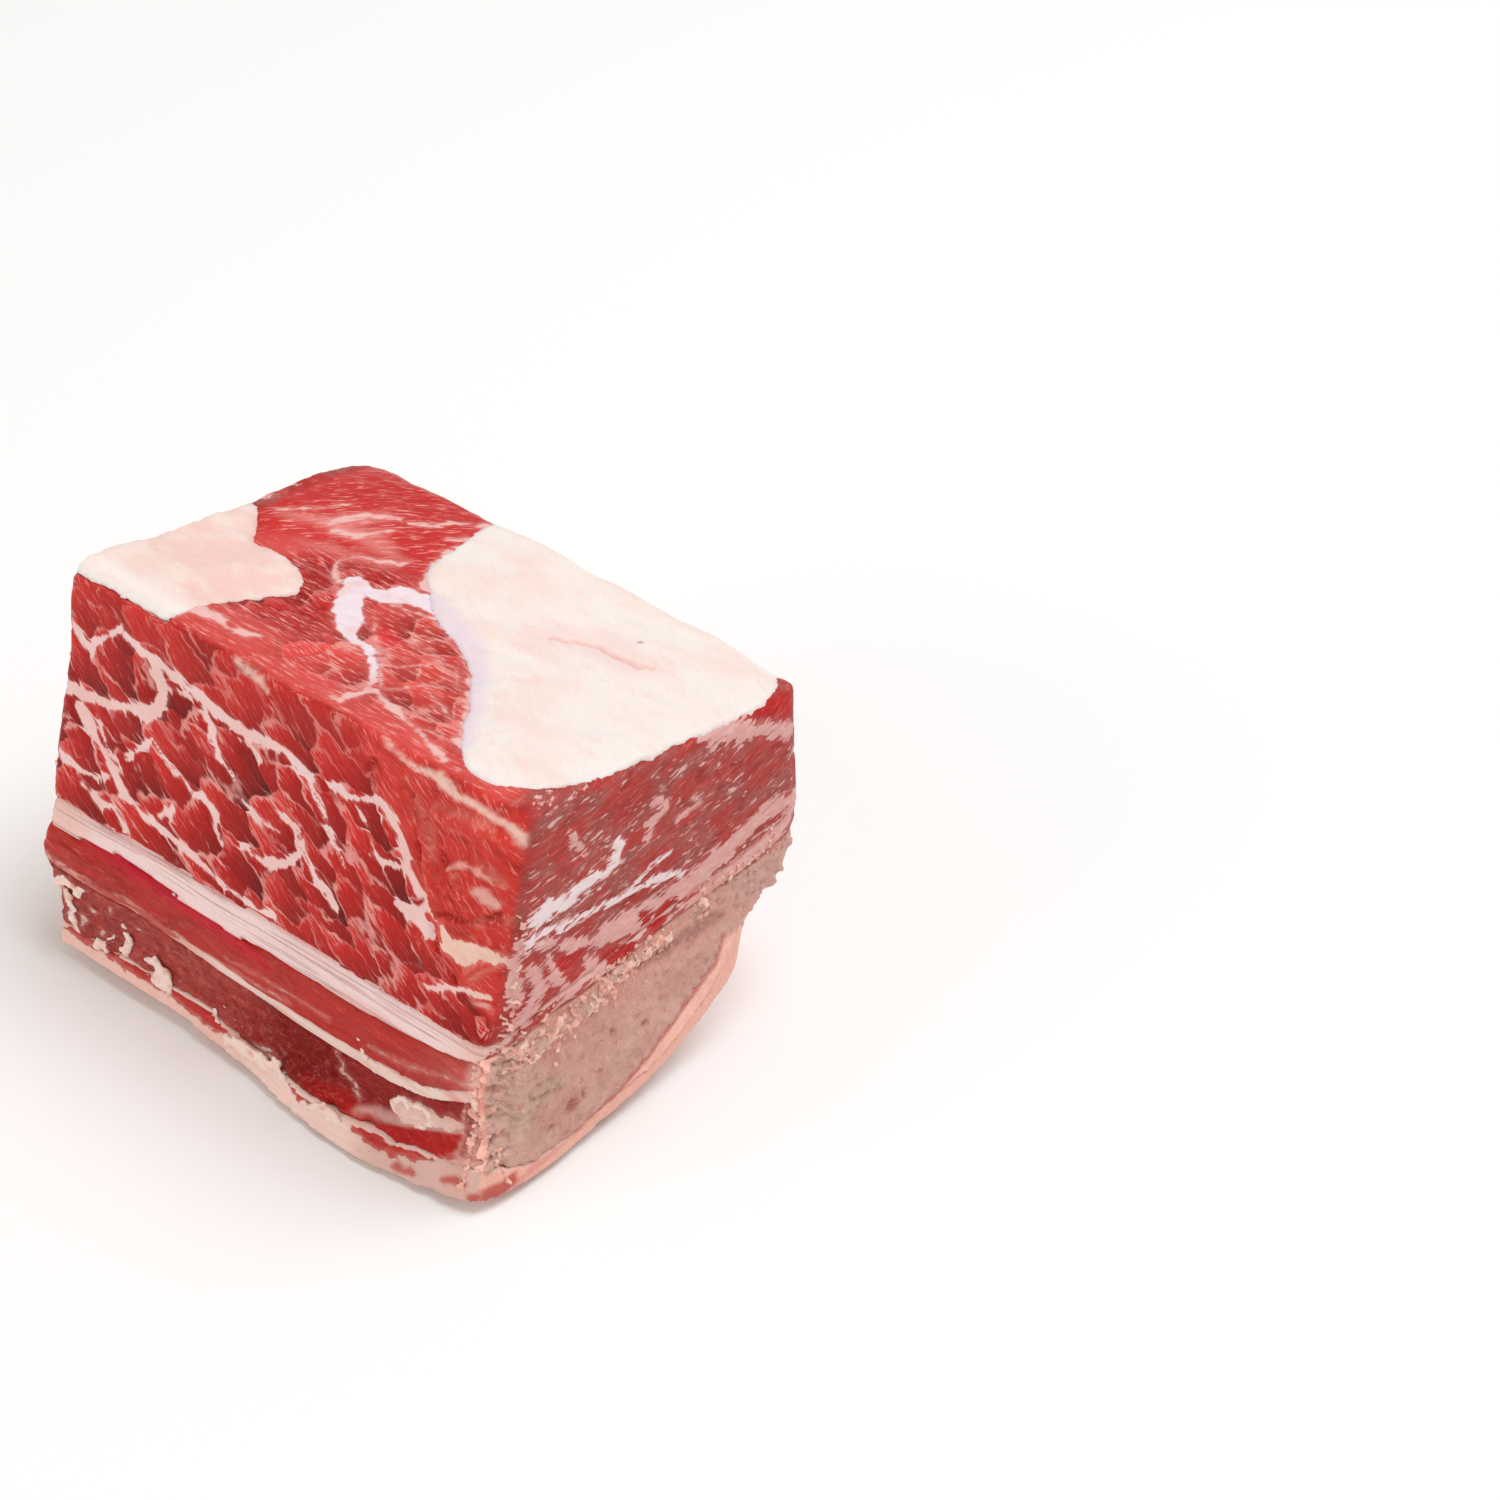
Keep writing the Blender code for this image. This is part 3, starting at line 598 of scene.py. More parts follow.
# Shreds of fat and membrane were left hanging on the torn lower strip where the knife pulled rather
# than cut: small soft rags, curls and threads, stuck to the wet flesh.
SHRED_GRAIN = 0.2
SHRED_CREAM = tone(252, 222, 212)
SHRED_PINK = tone(232, 160, 148)
SHRED_LIFT = -0.3
SHRED_STEP = 0.3
SHRED_FLATNESS = 0.4
# Each shred runs through its points: along, across, up and size in millimetres.
SHREDS = (
    ((0.6, -0.4, -45.2, 2.0), (2.2, -0.5, -44.2, 2.4), (3.6, -0.3, -44.0, 1.8), (3.4, -0.2, -46.0, 1.4)),
    ((1.6, -0.2, -46.6, 1.6), (1.4, 0.3, -48.4, 1.2), (2.0, 0.5, -50.3, 1.4), (3.1, 0.5, -51.6, 1.0)),
    ((6.6, 0.4, -52.4, 1.4), (8.2, 0.7, -51.4, 1.6), (9.0, 0.8, -50.3, 1.0), (9.8, 0.9, -49.2, 0.7)),
    ((11.0, 1.0, -47.6, 1.0), (11.7, 1.0, -49.0, 1.3), (12.0, 0.9, -50.5, 1.5), (11.4, 0.8, -51.3, 1.2)),
    ((15.3, 0.9, -50.4, 0.9), (16.9, 1.0, -49.6, 1.2), (18.3, 0.9, -50.5, 2.0), (19.6, 0.8, -51.8, 1.8),
     (20.0, 0.7, -52.8, 1.2)),
    ((16.4, 0.8, -51.9, 1.0), (17.8, 0.8, -52.2, 1.6), (19.0, 0.7, -53.0, 1.4)),
    ((31.0, 0.1, -54.0, 1.4), (33.2, 0.0, -53.8, 1.9), (35.6, -0.1, -53.6, 2.2), (38.2, -0.3, -53.7, 2.0),
     (40.8, -0.4, -53.6, 1.4), (43.0, -0.6, -54.4, 1.0)),
    ((36.8, -0.1, -53.0, 1.0), (38.4, -0.2, -52.6, 0.7)),
    ((26.7, 1.2, -51.3, 0.5), (28.0, 1.1, -51.7, 0.8), (29.1, 0.6, -52.7, 0.7)),
    ((28.5, 1.6, -50.4, 0.4), (30.8, 1.3, -51.2, 0.5), (33.6, 1.0, -51.8, 0.4)),
    ((46.4, -1.4, -55.0, 1.2), (48.4, -1.3, -54.6, 1.8), (50.8, -1.1, -54.4, 2.0),
     (53.2, -1.2, -54.8, 1.4)),
    ((48.9, -1.2, -54.0, 1.2), (50.3, -1.0, -53.4, 0.8)),
    ((60.4, 0.9, -49.2, 2.2), (62.0, 0.9, -48.9, 3.0), (64.2, 0.8, -48.2, 2.4), (66.6, 0.6, -47.5, 1.2)),
    ((53.0, 0.4, -42.6, 0.5), (53.7, 0.6, -43.9, 0.9), (54.1, 0.9, -44.9, 1.0)),
)

rags = bmesh.new()
draw = random.Random(11)
for shred in SHREDS:
    for start, end in zip(shred, shred[1:]):
        steps = max(2, int(math.dist(start[:3], end[:3]) / SHRED_STEP))
        for step in range(steps + 1):
            along, across, up, full_size = np.array(start) + step / steps * (np.array(end) - start)
            size = full_size * draw.uniform(0.3, 0.58)
            along += draw.gauss(0, 0.3) * size
            up += draw.gauss(0, 0.4) * size
            flat = Matrix.Diagonal((size * MM, size * SHRED_FLATNESS * MM, size * MM, 1.0))
            rag = Matrix.Translation(from_block(along, across + SHRED_LIFT, up)) @ flat
            bmesh.ops.create_icosphere(rags, subdivisions=2, radius=1.0, matrix=rag)
shreds = evened(rags, "fat_shreds", SHRED_GRAIN, 1)
places = in_block(shreds)
blush = ripple(places, (2.4, 1.6, 1.2), 28, 1)
fat_tint = mixed(SHRED_CREAM, SHRED_PINK, 0.8 * rise(blush, 0.0, 0.8))
note(shreds, tint=SHRED_PINK, fat_tint=fat_tint, to_fat=-2.0)
swell(shreds, 0.3 * ripple(places, (1.1, 1.1, 0.8), 29, 2))
dress(shreds, flesh_finish, "fat")


# Between the strips and the big muscle runs the seam: a firm band of fat in long sheets, which goes
# through the block and shows on all four sides. Where the saw crossed it, it is smeared like the beef.
SEAM_GRAIN = 0.46
SEAM_SWELL = 0.26
SEAM_WHITE = tone(246, 218, 215)
SEAM_PINK = tone(228, 160, 154)
SEAM_CREAM = tone(240, 196, 184)
CUT_STREAKS = math.radians(19)
STEEP_STREAKS = math.radians(68)
# Where the saw smeared white and pink fat over the cuts, where it left islands of lean in the fat, and
# where the lean stayed deep red: stripes as across, up and width in millimetres.
CUT_WHITE = (
    ((3.0, -15.3, 2.6), (4.7, -14.3, 3.2), (7.4, -14.9, 2.4), (9.6, -14.1, 1.9), (11.8, -13.1, 2.4),
     (14.7, -13.1, 1.8), (16.2, -11.7, 2.1), (16.5, -10.1, 2.1), (16.1, -8.7, 0.7)),
    ((2.3, -19.5, 1.2), (3.0, -17.8, 1.3), (5.5, -17.8, 1.2), (8.1, -18.2, 1.0), (10.5, -18.1, 1.3),
     (13.0, -18.2, 1.2), (15.3, -18.2, 0.9), (18.8, -18.6, 0.9), (21.6, -18.6, 0.9), (24.2, -18.0, 1.2),
     (26.6, -18.0, 1.2), (29.8, -19.0, 0.7)),
    ((21.6, -16.8, 0.6), (23.2, -15.9, 0.9), (24.9, -15.3, 0.9), (26.5, -14.5, 0.7)),
)
CUT_PINK = (
    ((2.8, -18.6, 1.2), (6.3, -19.6, 1.3), (10.2, -21.7, 1.3), (14.3, -23.3, 1.5), (16.9, -23.1, 2.4),
     (20.5, -23.1, 4.1), (24.3, -22.9, 3.5), (27.1, -22.2, 2.1), (29.0, -21.1, 1.8), (31.6, -21.5, 2.9),
     (33.8, -20.6, 4.1), (36.4, -19.4, 4.1), (39.1, -18.1, 3.2), (42.0, -16.9, 2.9), (44.5, -15.8, 2.6),
     (47.1, -15.6, 2.4), (51.0, -16.1, 2.1)),
    ((14.4, -25.7, 1.5), (15.9, -28.2, 1.3), (18.8, -29.0, 1.2), (20.3, -28.6, 1.2)),
    ((33.2, -26.2, 3.5), (35.5, -24.6, 3.5), (38.2, -22.9, 2.4), (42.0, -21.5, 2.4), (46.0, -20.3, 2.4),
     (50.0, -19.2, 2.0)),
    ((22.6, -6.1, 1.0), (24.5, -7.5, 1.2), (22.5, -9.0, 1.4), (21.7, -10.5, 1.4)),
    ((7.7, -5.5, 1.4), (9.1, -7.4, 1.2), (10.8, -9.3, 0.7)),
    ((31.3, -9.2, 0.9), (29.6, -9.7, 0.7), (27.8, -10.0, 1.0)),
    ((31.8, -0.6, 2.4), (34.6, -1.0, 2.6), (38.1, -1.9, 2.4), (42.7, -3.5, 2.1), (48.6, -5.6, 1.8)),
    ((2.0, -26.4, 2.1), (1.0, -23.2, 2.1), (0.5, -20.2, 1.8), (0.8, -18.0, 1.5)),
    ((3.3, -21.9, 1.2), (4.8, -24.0, 1.6), (5.6, -26.6, 1.8), (4.0, -28.8, 2.0), (2.1, -30.6, 1.8)),
    ((15.4, -25.9, 1.3), (13.8, -27.1, 1.6), (11.9, -28.3, 1.6), (10.3, -30.1, 1.4), (8.7, -31.6, 1.3)),
    ((6.4, -22.0, 0.9), (8.3, -25.4, 1.0), (10.5, -27.7, 1.0)),
)
CUT_ISLANDS = (
    ((23.7, -23.0, 1.5), (26.1, -25.3, 2.1), (27.8, -24.2, 1.8), (29.4, -22.8, 1.2)),
    ((17.4, -26.4, 1.5), (20.7, -26.7, 1.8), (22.5, -27.1, 0.9)),
)
CUT_DEEP = (
    ((7.1, -25.4, 2.1), (9.1, -24.1, 2.4), (12.1, -24.0, 1.5)),
    ((7.4, -32.6, 1.8), (9.2, -30.8, 2.1), (10.8, -29.7, 1.5), (12.4, -29.0, 0.7)),
    ((15.3, -29.8, 1.5), (15.9, -28.9, 0.9)),
    ((37.0, 0.6, 0.8), (41.0, -0.2, 2.0), (47.5, -1.8, 3.0)),
)
CUT_RED = tone(184, 66, 61)
CUT_DULL = tone(166, 88, 82)
CUT_RICH = tone(186, 44, 42)
CUT_DARK = tone(150, 46, 44)
LEAF_LEAN = math.radians(29)
LEAF_SIZES = (8.0, 8.0, 3.0)
LEAF_BORDER = tone(240, 174, 166)
CELL_TURN = math.radians(-20)
CELL_SIZES = (8.0, 4.4, 8.0)
LEAN_PALE = tone(236, 156, 148)
LEAN_LIGHT = tone(206, 56, 49)
SMEAR_WHITE = tone(246, 226, 226)
SMEAR_PINK = tone(228, 168, 163)


def cut_paint(places):
    """How the saw left flesh and fat on a cut: the way to the nearest fat, and both their colours."""
    along, across, up = places.T
    lying = places @ np.array(Matrix.Rotation(CUT_STREAKS, 3, "X"))
    standing = places @ np.array(Matrix.Rotation(STEEP_STREAKS, 3, "X"))
    steep = (1 - rise(across, 4, 9)) * (1 - rise(up, -24, -17))

    def smeared(sizes, seed, detail):
        """Noise along the saw's streaks, which stand steeper at the near corner."""
        flat = ripple(lying, sizes, seed, detail) * (1 - steep)
        return flat + ripple(standing, sizes, seed + 1, detail) * steep

    ragged = smeared((2, 2.6, 0.8), 45, 2)
    streaks = smeared((2, 1.9, 0.45), 48, 1)
    coarse = ripple(lying, (5, 6, 2.6), 47, 1)
    across_wavy = across + 0.5 * ragged
    up_wavy = up + 0.35 * ragged
    to_white = beside(across_wavy, up_wavy, *CUT_WHITE) - 0.95 * ragged
    islands = beside(across_wavy, up_wavy, *CUT_ISLANDS)
    to_pink = np.maximum(beside(across_wavy, up_wavy, *CUT_PINK) - 0.8 * ragged, -islands)
    deep = inside(across_wavy, up_wavy, -0.4, 0.5, *CUT_DEEP, *CUT_ISLANDS)
    to_streak = 0.86 - streaks - 0.7 * coarse + 1.5 * deep
    to_fat = np.minimum(np.minimum(to_white, to_pink), to_streak * 0.8)
    flesh = painted(
        CUT_RED,
        (CUT_DULL, rise(coarse + 0.6 * ragged, -0.4, 0.5)),
        (CUT_DARK, 0.7 * rise(ripple(lying, (3, 3, 1.4), 50, 1), 0.0, 0.8)),
        (CUT_RICH, deep))
    whiteness = np.clip(1 - rise(to_white, 0, 0.3) + 0.3 * rise(streaks, 0, 0.6), 0, 1)
    return to_fat, flesh, mixed(SMEAR_PINK, SMEAR_WHITE, whiteness)


def fibre_bundles(ink, flank, top):
    """Cells that stand for bundles of fibre, leaning leaves on the flanks and rounder ones on top. For each
    place: the gap to its bundle's border, how far along it is from the middle, and the bundle's shade."""
    bends = {"Vector": ink.block_places(), "Scale": 0.25, "Detail": 2.0}
    bend = ink.node("ShaderNodeTexNoise", {}, bends, "Color")
    sway = {0: bend, 1: (3.4, 3.4, 3.4), 2: ink.block_places()}
    bent = ink.node("ShaderNodeVectorMath", {"operation": "MULTIPLY_ADD"}, sway)
    shape = {"Vector": bent, "Rotation": (0, LEAF_LEAN, 0), "Scale": LEAF_SIZES}
    leaves = ink.scaled(ink.node("ShaderNodeMapping", {"vector_type": "TEXTURE"}, shape), flank)
    shape = {"Vector": bent, "Rotation": (0, 0, CELL_TURN), "Scale": CELL_SIZES}
    cells = ink.scaled(ink.node("ShaderNodeMapping", {"vector_type": "TEXTURE"}, shape), top)
    spot = ink.node("ShaderNodeVectorMath", {"operation": "ADD"}, {0: leaves, 1: cells})
    spots = {"Vector": spot, "Scale": 1.0}
    gap = ink.node("ShaderNodeTexVoronoi", {"feature": "DISTANCE_TO_EDGE"}, spots, "Distance")
    middle = ink.node("ShaderNodeTexVoronoi", {"feature": "F1"}, spots, "Position")
    own = ink.node("ShaderNodeTexVoronoi", {"feature": "F1"}, spots, "Color")
    off = ink.node("ShaderNodeVectorMath", {"operation": "SUBTRACT"}, {0: spot, 1: middle})
    within = ink.node("ShaderNodeSeparateXYZ", {}, {0: off}, "X")
    shade = ink.node("ShaderNodeSeparateColor", {}, {0: own}, "Red")
    return gap, within, shade


def beef_look(ink):
    """Wet marbled beef: fibres in the direction that each side shows, red leaves of fibre on the flanks,
    fat where to_fat is below nothing, sheets of fat in the seam, and a dull sawn face."""
    flank, top, back, cut, leafy, sheet, pale = (
        ink.kept(share) for share in ("flank", "top", "back", "cut", "leafy", "sheet", "pale"))

    def by_side(long, thin, detail):
        """The same noise four times, each along the fibres of one side."""
        on_flank = ink.grain((long, thin * 2, thin), detail, (0, math.radians(38), 0)) * flank
        on_top = ink.grain((long, thin, thin * 2), detail) * top
        on_back = ink.grain((long, thin, thin * 2), detail, (0, 0, math.radians(53))) * back
        on_cut = ink.grain((thin * 2, long, thin), detail, (CUT_STREAKS, 0, 0)) * cut
        return on_flank + on_top + on_back + on_cut

    fibres = by_side(3.6, 0.46, 2.0)
    fine = by_side(1.5, 0.2, 2.0)
    gap, within, shade = fibre_bundles(ink, flank, top)
    start = (fine - within - 0.5).rise(0.05, 0.45)
    breaks = ink.grain((4.0, 4.0, 4.0), 1.0).rise(0.40, 0.60)
    border = gap * 3.0
    width = shade * 0.08 - 0.10 + start * (0.14 + (fine - 0.45) * 1.8) + (fibres - 0.5) * 0.6 + breaks * 0.10
    leaf_line = (1 - (border - width).rise(-0.06, 0.15)) * (0.22 + breaks * 0.48) * leafy
    flames = (1 - border.rise(0.0, 0.34)) * (0.10 + shade * 0.75) * leafy * flank

    ragged = cut - top * 0.25 + back * 0.3
    frayed = (fibres - 0.5) * (1.1 + ragged * 2.2) + (fine - 0.5) * (0.7 + ragged * 1.3)
    to_fat = (ink.kept("to_fat") + frayed + flank * 0.07 - flames) * (0.8 - (top + back) * 0.45)
    in_fat = 1 - to_fat.rise(-0.08, 0.10)
    near_fat = (1 - to_fat.rise(0.0, 0.35)) * 0.2
    leaf_shade = 1.0 + leafy * (shade * 0.24 - 0.16 - within * 0.75)
    streaks = (fibres * 0.55 + fine * 0.45).rise(0.52, 0.66)
    leaf_streaks = (fibres * 0.4 + fine * 0.6 + start * 0.08).rise(0.57, 0.70)
    flesh = ink.scaled(ink.kept_colour("tint"), (0.62 + fibres * 0.46 + fine * 0.28) * leaf_shade)
    flesh = ink.blend(flesh, LEAN_PALE, streaks * pale)
    flesh = ink.blend(flesh, LEAN_PALE, leaf_streaks * leafy * 0.22)
    flesh = ink.blend(flesh, LEAN_LIGHT, start * leafy * flank * 0.35)
    flesh = ink.blend(flesh, LEAF_BORDER, leaf_line)
    flesh = ink.blend(flesh, LEAN_PALE, near_fat)
    lines = ink.grain((34.0, 8.0, 0.42), 2.0).rise(0.55, 0.62) * sheet
    fat = ink.scaled(ink.kept_colour("fat_tint"), 0.88 + fibres * 0.14 + fine * 0.08)
    fat = ink.blend(fat, SEAM_PINK, lines * 0.5)
    colour = ink.blend(flesh, fat, in_fat)
    height = fibres * 0.16 + fine * 0.07 - within * leafy * 0.06 - lines * 0.12
    return colour, 0.38 + in_fat * 0.04 + cut * 0.2, height


beef_finish = finish("marbled_beef", beef_look, gloss=0.10, depth=1.1, soft=0.12, spread=(1.0, 0.25, 0.2))

seam = fine_copy("seam_fat", "seam_of_fat", SEAM_GRAIN, 2)
places = in_block(seam)
shares = facing(seam)
along, across, up = places.T
waves = ripple(places, (14, 10, 1.6), 31, 1)
cut = rise(shares["near_cut"] + shares["far_cut"], 0.3, 0.7)
flank = 1 - cut
cut_fat, cut_flesh, cut_smear = cut_paint(places)
fat_tint = painted(
    SEAM_WHITE,
    (SEAM_PINK, 0.45 * rise(waves, 0, 0.8)),
    (SEAM_CREAM, 0.8 * (1 - rise(along, 1, 6)) + 0.8 * rise(along, 66, 72)),
    (cut_smear, cut))
note(seam, flank=flank, cut=cut, sheet=flank, pale=0.4 * cut, to_fat=cut * (cut_fat - 0.25) - flank,
     tint=cut_flesh, fat_tint=fat_tint)
swell(seam, SEAM_SWELL + 0.12 * waves + 0.12 * cut * ripple(places, (1.2, 1.6, 0.8), 33, 1))
dress(seam, beef_finish, "fat", "seam_fat")


# The block's bulk is one well marbled muscle. On the flanks the knife crossed its bundles of fibre,
# which show as long red leaves with fat between them; on top the fibres lie along the surface; the
# saw smeared fat and bone meal over the two ends.
LEAN_GRAIN = 0.43
LEAN_SWELL = 0.18
BED_LAP = 0.35
# The two hollows on the top that the fats lie in: where a border starts and is full, then fades and ends.
BED_FLOOR = (-5.0, -4.0)
BED_ALONG = (3.5, 4.5, 70.0, 71.5)
BED_ACROSS = (1.4, 2.2, 47.5, 48.5)
DEEP_ALONG = (12, 17, 27, 31)
KNOB_HUMP = (70, -13.5)
WHITISH_PLACE = (17, 35)
SEAM_FRINGE = -34.1
KNOB_EDGE = ((-35, 77.0), (-30, 73.5), (-26, 70.0), (-20, 64.0), (-14, 59.5), (-8, 53.0), (0, 48.0))
# Stripes on the flanks, each point as along, up and width: the veins, and on the thick knob of lean at the
# near corner its fat, creases, raised lobes and pale glints, which are painted highlights.
FLANK_VEINS = (
    ((-1.5, -17.4, 1.8), (4.2, -16.9, 1.5), (7.4, -16.1, 1.2), (10.8, -15.0, 1.2), (14.0, -14.4, 1.9),
     (15.9, -12.7, 1.8), (17.0, -10.9, 1.3), (16.5, -9.1, 1.0), (14.9, -7.6, 0.9), (13.3, -6.5, 1.0),
     (10.7, -6.0, 0.9), (9.1, -5.5, 0.7)),
    ((12.9, -6.3, 0.6), (15.4, -6.4, 0.9), (18.2, -7.2, 1.2), (21.0, -7.7, 1.2), (23.6, -7.9, 1.6),
     (25.8, -8.8, 1.8), (28.3, -9.3, 1.5), (31.1, -9.5, 1.0), (34.1, -8.9, 1.0), (37.2, -9.1, 1.3),
     (40.0, -9.8, 1.5), (41.8, -10.8, 1.3), (42.8, -12.3, 1.0), (44.5, -14.3, 0.9), (46.1, -16.4, 0.6),
     (47.7, -18.0, 0.4), (49.1, -19.9, 0.3)),
    ((22.8, -8.4, 0.4), (20.2, -8.9, 0.7), (17.9, -9.1, 0.7), (16.3, -8.7, 0.6)),
    ((45.3, -10.0, 0.9), (48.1, -10.6, 0.9), (50.6, -9.8, 0.7), (52.7, -8.7, 1.0), (54.1, -10.0, 1.2),
     (56.0, -11.3, 1.2), (57.4, -12.7, 1.5), (58.1, -14.3, 1.5), (59.2, -15.7, 1.2), (60.7, -17.1, 1.3),
     (62.7, -17.9, 1.5), (64.8, -19.0, 1.2)),
    ((52.6, -15.9, 0.6), (55.0, -16.1, 0.7), (57.0, -15.8, 0.9), (58.6, -15.4, 0.9)),
    ((57.9, -20.3, 0.9), (59.9, -20.4, 1.8), (62.1, -20.4, 2.6), (63.7, -21.0, 2.1), (64.5, -21.6, 0.9)),
    ((1.7, -19.1, 1.9), (3.4, -20.7, 1.8), (5.3, -22.6, 0.9), (7.4, -24.2, 1.0), (9.1, -25.3, 2.1),
     (10.4, -26.8, 2.1), (11.8, -27.9, 1.3), (14.1, -28.6, 1.0), (18.3, -29.2, 1.2), (22.5, -30.6, 1.2),
     (24.4, -31.0, 1.3), (26.6, -31.5, 0.7), (31.6, -32.5, 0.6), (35.3, -33.1, 1.2), (37.4, -32.5, 1.2)),
    ((17.3, -27.5, 0.7), (19.3, -26.1, 1.2), (19.5, -25.2, 0.7)),
    ((11.2, -22.1, 0.4), (12.6, -20.2, 0.6), (15.1, -17.5, 0.7), (16.7, -18.8, 0.6), (18.1, -20.2, 0.6),
     (21.7, -21.4, 0.6), (23.9, -21.9, 0.9), (25.7, -22.4, 1.3), (26.6, -23.5, 1.2), (27.0, -25.1, 0.9),
     (28.0, -26.4, 0.4)),
    ((4.5, -18.3, 0.3), (5.6, -20.5, 0.6), (7.0, -22.3, 0.4), (9.0, -23.5, 0.3)),
    ((23.7, -9.0, 0.7), (25.3, -11.3, 0.7), (26.6, -13.1, 0.6), (26.9, -14.7, 1.3), (28.3, -15.6, 0.7),
     (30.0, -16.8, 0.4)),
    ((0.0, -8.5, 0.6), (2.0, -9.8, 0.9), (3.5, -10.0, 1.2), (5.0, -8.2, 0.7), (6.5, -6.4, 0.9),
     (8.3, -5.0, 0.6)),
    ((-1.3, -27.6, 0.7), (2.6, -27.9, 0.4), (5.2, -27.7, 0.4), (7.5, -26.3, 0.6), (9.0, -25.8, 0.6)),
    ((3.2, -29.8, 0.4), (5.0, -30.3, 0.9), (7.0, -30.7, 1.2), (9.2, -30.4, 0.9), (10.7, -31.8, 1.0),
     (11.4, -32.9, 0.6)),
    ((31.2, -18.9, 0.7), (33.2, -19.7, 0.4), (35.3, -20.4, 0.6), (37.4, -20.7, 0.4)),
    ((31.9, -25.1, 0.7), (33.7, -25.7, 0.9), (35.9, -25.5, 1.2), (38.4, -24.3, 1.3), (39.9, -23.0, 0.9),
     (41.4, -21.4, 0.6)),
    ((37.9, -17.9, 0.9), (39.9, -18.5, 1.0), (40.8, -19.8, 0.7), (43.0, -22.0, 0.7), (44.8, -23.6, 1.0),
     (47.0, -24.4, 1.3), (48.1, -25.5, 0.9)),
    ((49.0, -10.7, 0.3), (50.2, -12.2, 0.7), (52.0, -12.9, 0.4)),
    ((29.6, -10.6, 0.4), (32.0, -11.1, 0.4), (33.9, -11.9, 0.4)),
)
KNOB_FAT = (
    ((66.2, -19.8, 1.2), (67.8, -21.1, 2.6), (69.4, -21.5, 3.5), (71.5, -20.1, 2.4), (73.7, -19.7, 1.3),
     (75.0, -19.9, 0.9)),
    ((63.0, -29.5, 0.4), (65.0, -29.0, 1.0), (67.5, -27.3, 0.9), (70.6, -26.3, 0.9), (73.4, -25.9, 0.7)),
)
EDGE_FAT = (
    ((52.6, -0.5, 0.3), (55.4, -1.2, 0.5), (57.8, -1.8, 0.7), (60.5, -1.6, 1.0), (62.8, -1.6, 1.5),
     (65.6, -2.2, 1.2), (68.6, -2.2, 1.2), (71.8, -2.3, 1.3), (74.4, -2.8, 1.5), (75.9, -4.0, 1.5)),
    ((34.0, -2.3, 0.7), (32.5, -1.6, 1.2), (30.3, -1.2, 1.0), (28.1, -1.0, 0.6)),
)
KNOB_CREASES = (
    ((58.2, -5.9, 0.3), (59.7, -7.8, 0.3), (59.7, -11.8, 0.3), (60.9, -13.5, 0.3), (62.6, -15.7, 0.3),
     (65.1, -18.0, 0.3), (67.8, -17.1, 0.3), (71.1, -16.1, 0.3), (74.1, -14.1, 0.3)),
    ((63.9, -10.5, 0.3), (65.2, -12.5, 0.3), (67.1, -14.7, 0.3), (68.6, -16.2, 0.3)),
    ((64.0, -20.3, 0.3), (65.4, -22.4, 0.3), (66.9, -24.5, 0.3), (68.8, -25.7, 0.3)),
    ((51.7, -3.6, 0.3), (51.2, -5.5, 0.3), (51.9, -6.8, 0.3)),
)
KNOB_LOBES = (
    ((58.9, -6.5, 2.1), (60.9, -9.3, 2.4), (62.0, -12.5, 2.4), (63.7, -15.8, 2.6), (65.3, -18.1, 2.1)),
    ((65.4, -12.1, 1.3), (67.3, -13.2, 1.5), (69.0, -15.1, 1.5), (71.3, -16.0, 1.3), (74.0, -15.2, 1.2),
     (75.3, -13.2, 1.0)),
    ((67.7, -10.2, 0.9), (70.0, -9.6, 1.0), (72.3, -9.6, 1.2), (74.0, -10.1, 0.9)),
    ((62.2, -6.2, 2.1), (66.3, -5.3, 2.4), (71.2, -4.5, 2.1), (74.9, -4.6, 1.5)),
    ((65.4, -25.8, 1.8), (67.5, -27.1, 2.1), (70.7, -24.0, 1.8), (73.2, -21.0, 1.5), (74.7, -19.9, 1.2)),
)
KNOB_PAINTED_HIGHLIGHTS = (
    ((70.5, -12.4, 1.2), (71.9, -12.6, 1.8), (73.2, -12.9, 1.3)),
    ((65.4, -12.1, 0.6), (66.9, -10.9, 0.7), (68.8, -10.2, 0.7), (70.8, -10.1, 0.9), (72.8, -10.3, 0.7)),
    ((67.5, -27.1, 0.6), (70.7, -27.7, 1.0), (73.4, -27.2, 0.7)),
)
RED_DROP = ((60.3, -18.6, 0.7), (61.1, -18.7, 0.9), (62.0, -18.0, 0.6))
# Stripes on the top, each point as along, across and width: the skin round the cap of fat and the veins
# and bands by it, the cells of the round eye of lean, and the pale haze behind.
CAP_BORDER = (
    (24.8, 24.3, 2.6), (28.1, 24.9, 2.8), (30.1, 26.4, 3.6), (32.6, 27.8, 3.8), (35.8, 27.4, 2.6),
    (39.4, 26.0, 2.6), (42.4, 24.5, 2.6), (45.5, 22.7, 2.4), (48.5, 20.2, 2.0), (51.7, 16.6, 2.0),
    (57.5, 9.2, 2.0), (59.9, 5.6, 1.8))
CAP_BRANCH = (
    (23.4, 24.6, 1.8), (25.6, 21.6, 3.0), (28.3, 18.3, 3.2), (30.9, 15.8, 2.4), (33.4, 14.1, 1.2),
    (35.4, 14.2, 0.8), (38.0, 12.7, 0.9), (40.5, 10.7, 0.8), (42.4, 8.5, 0.7), (43.6, 6.2, 0.6))
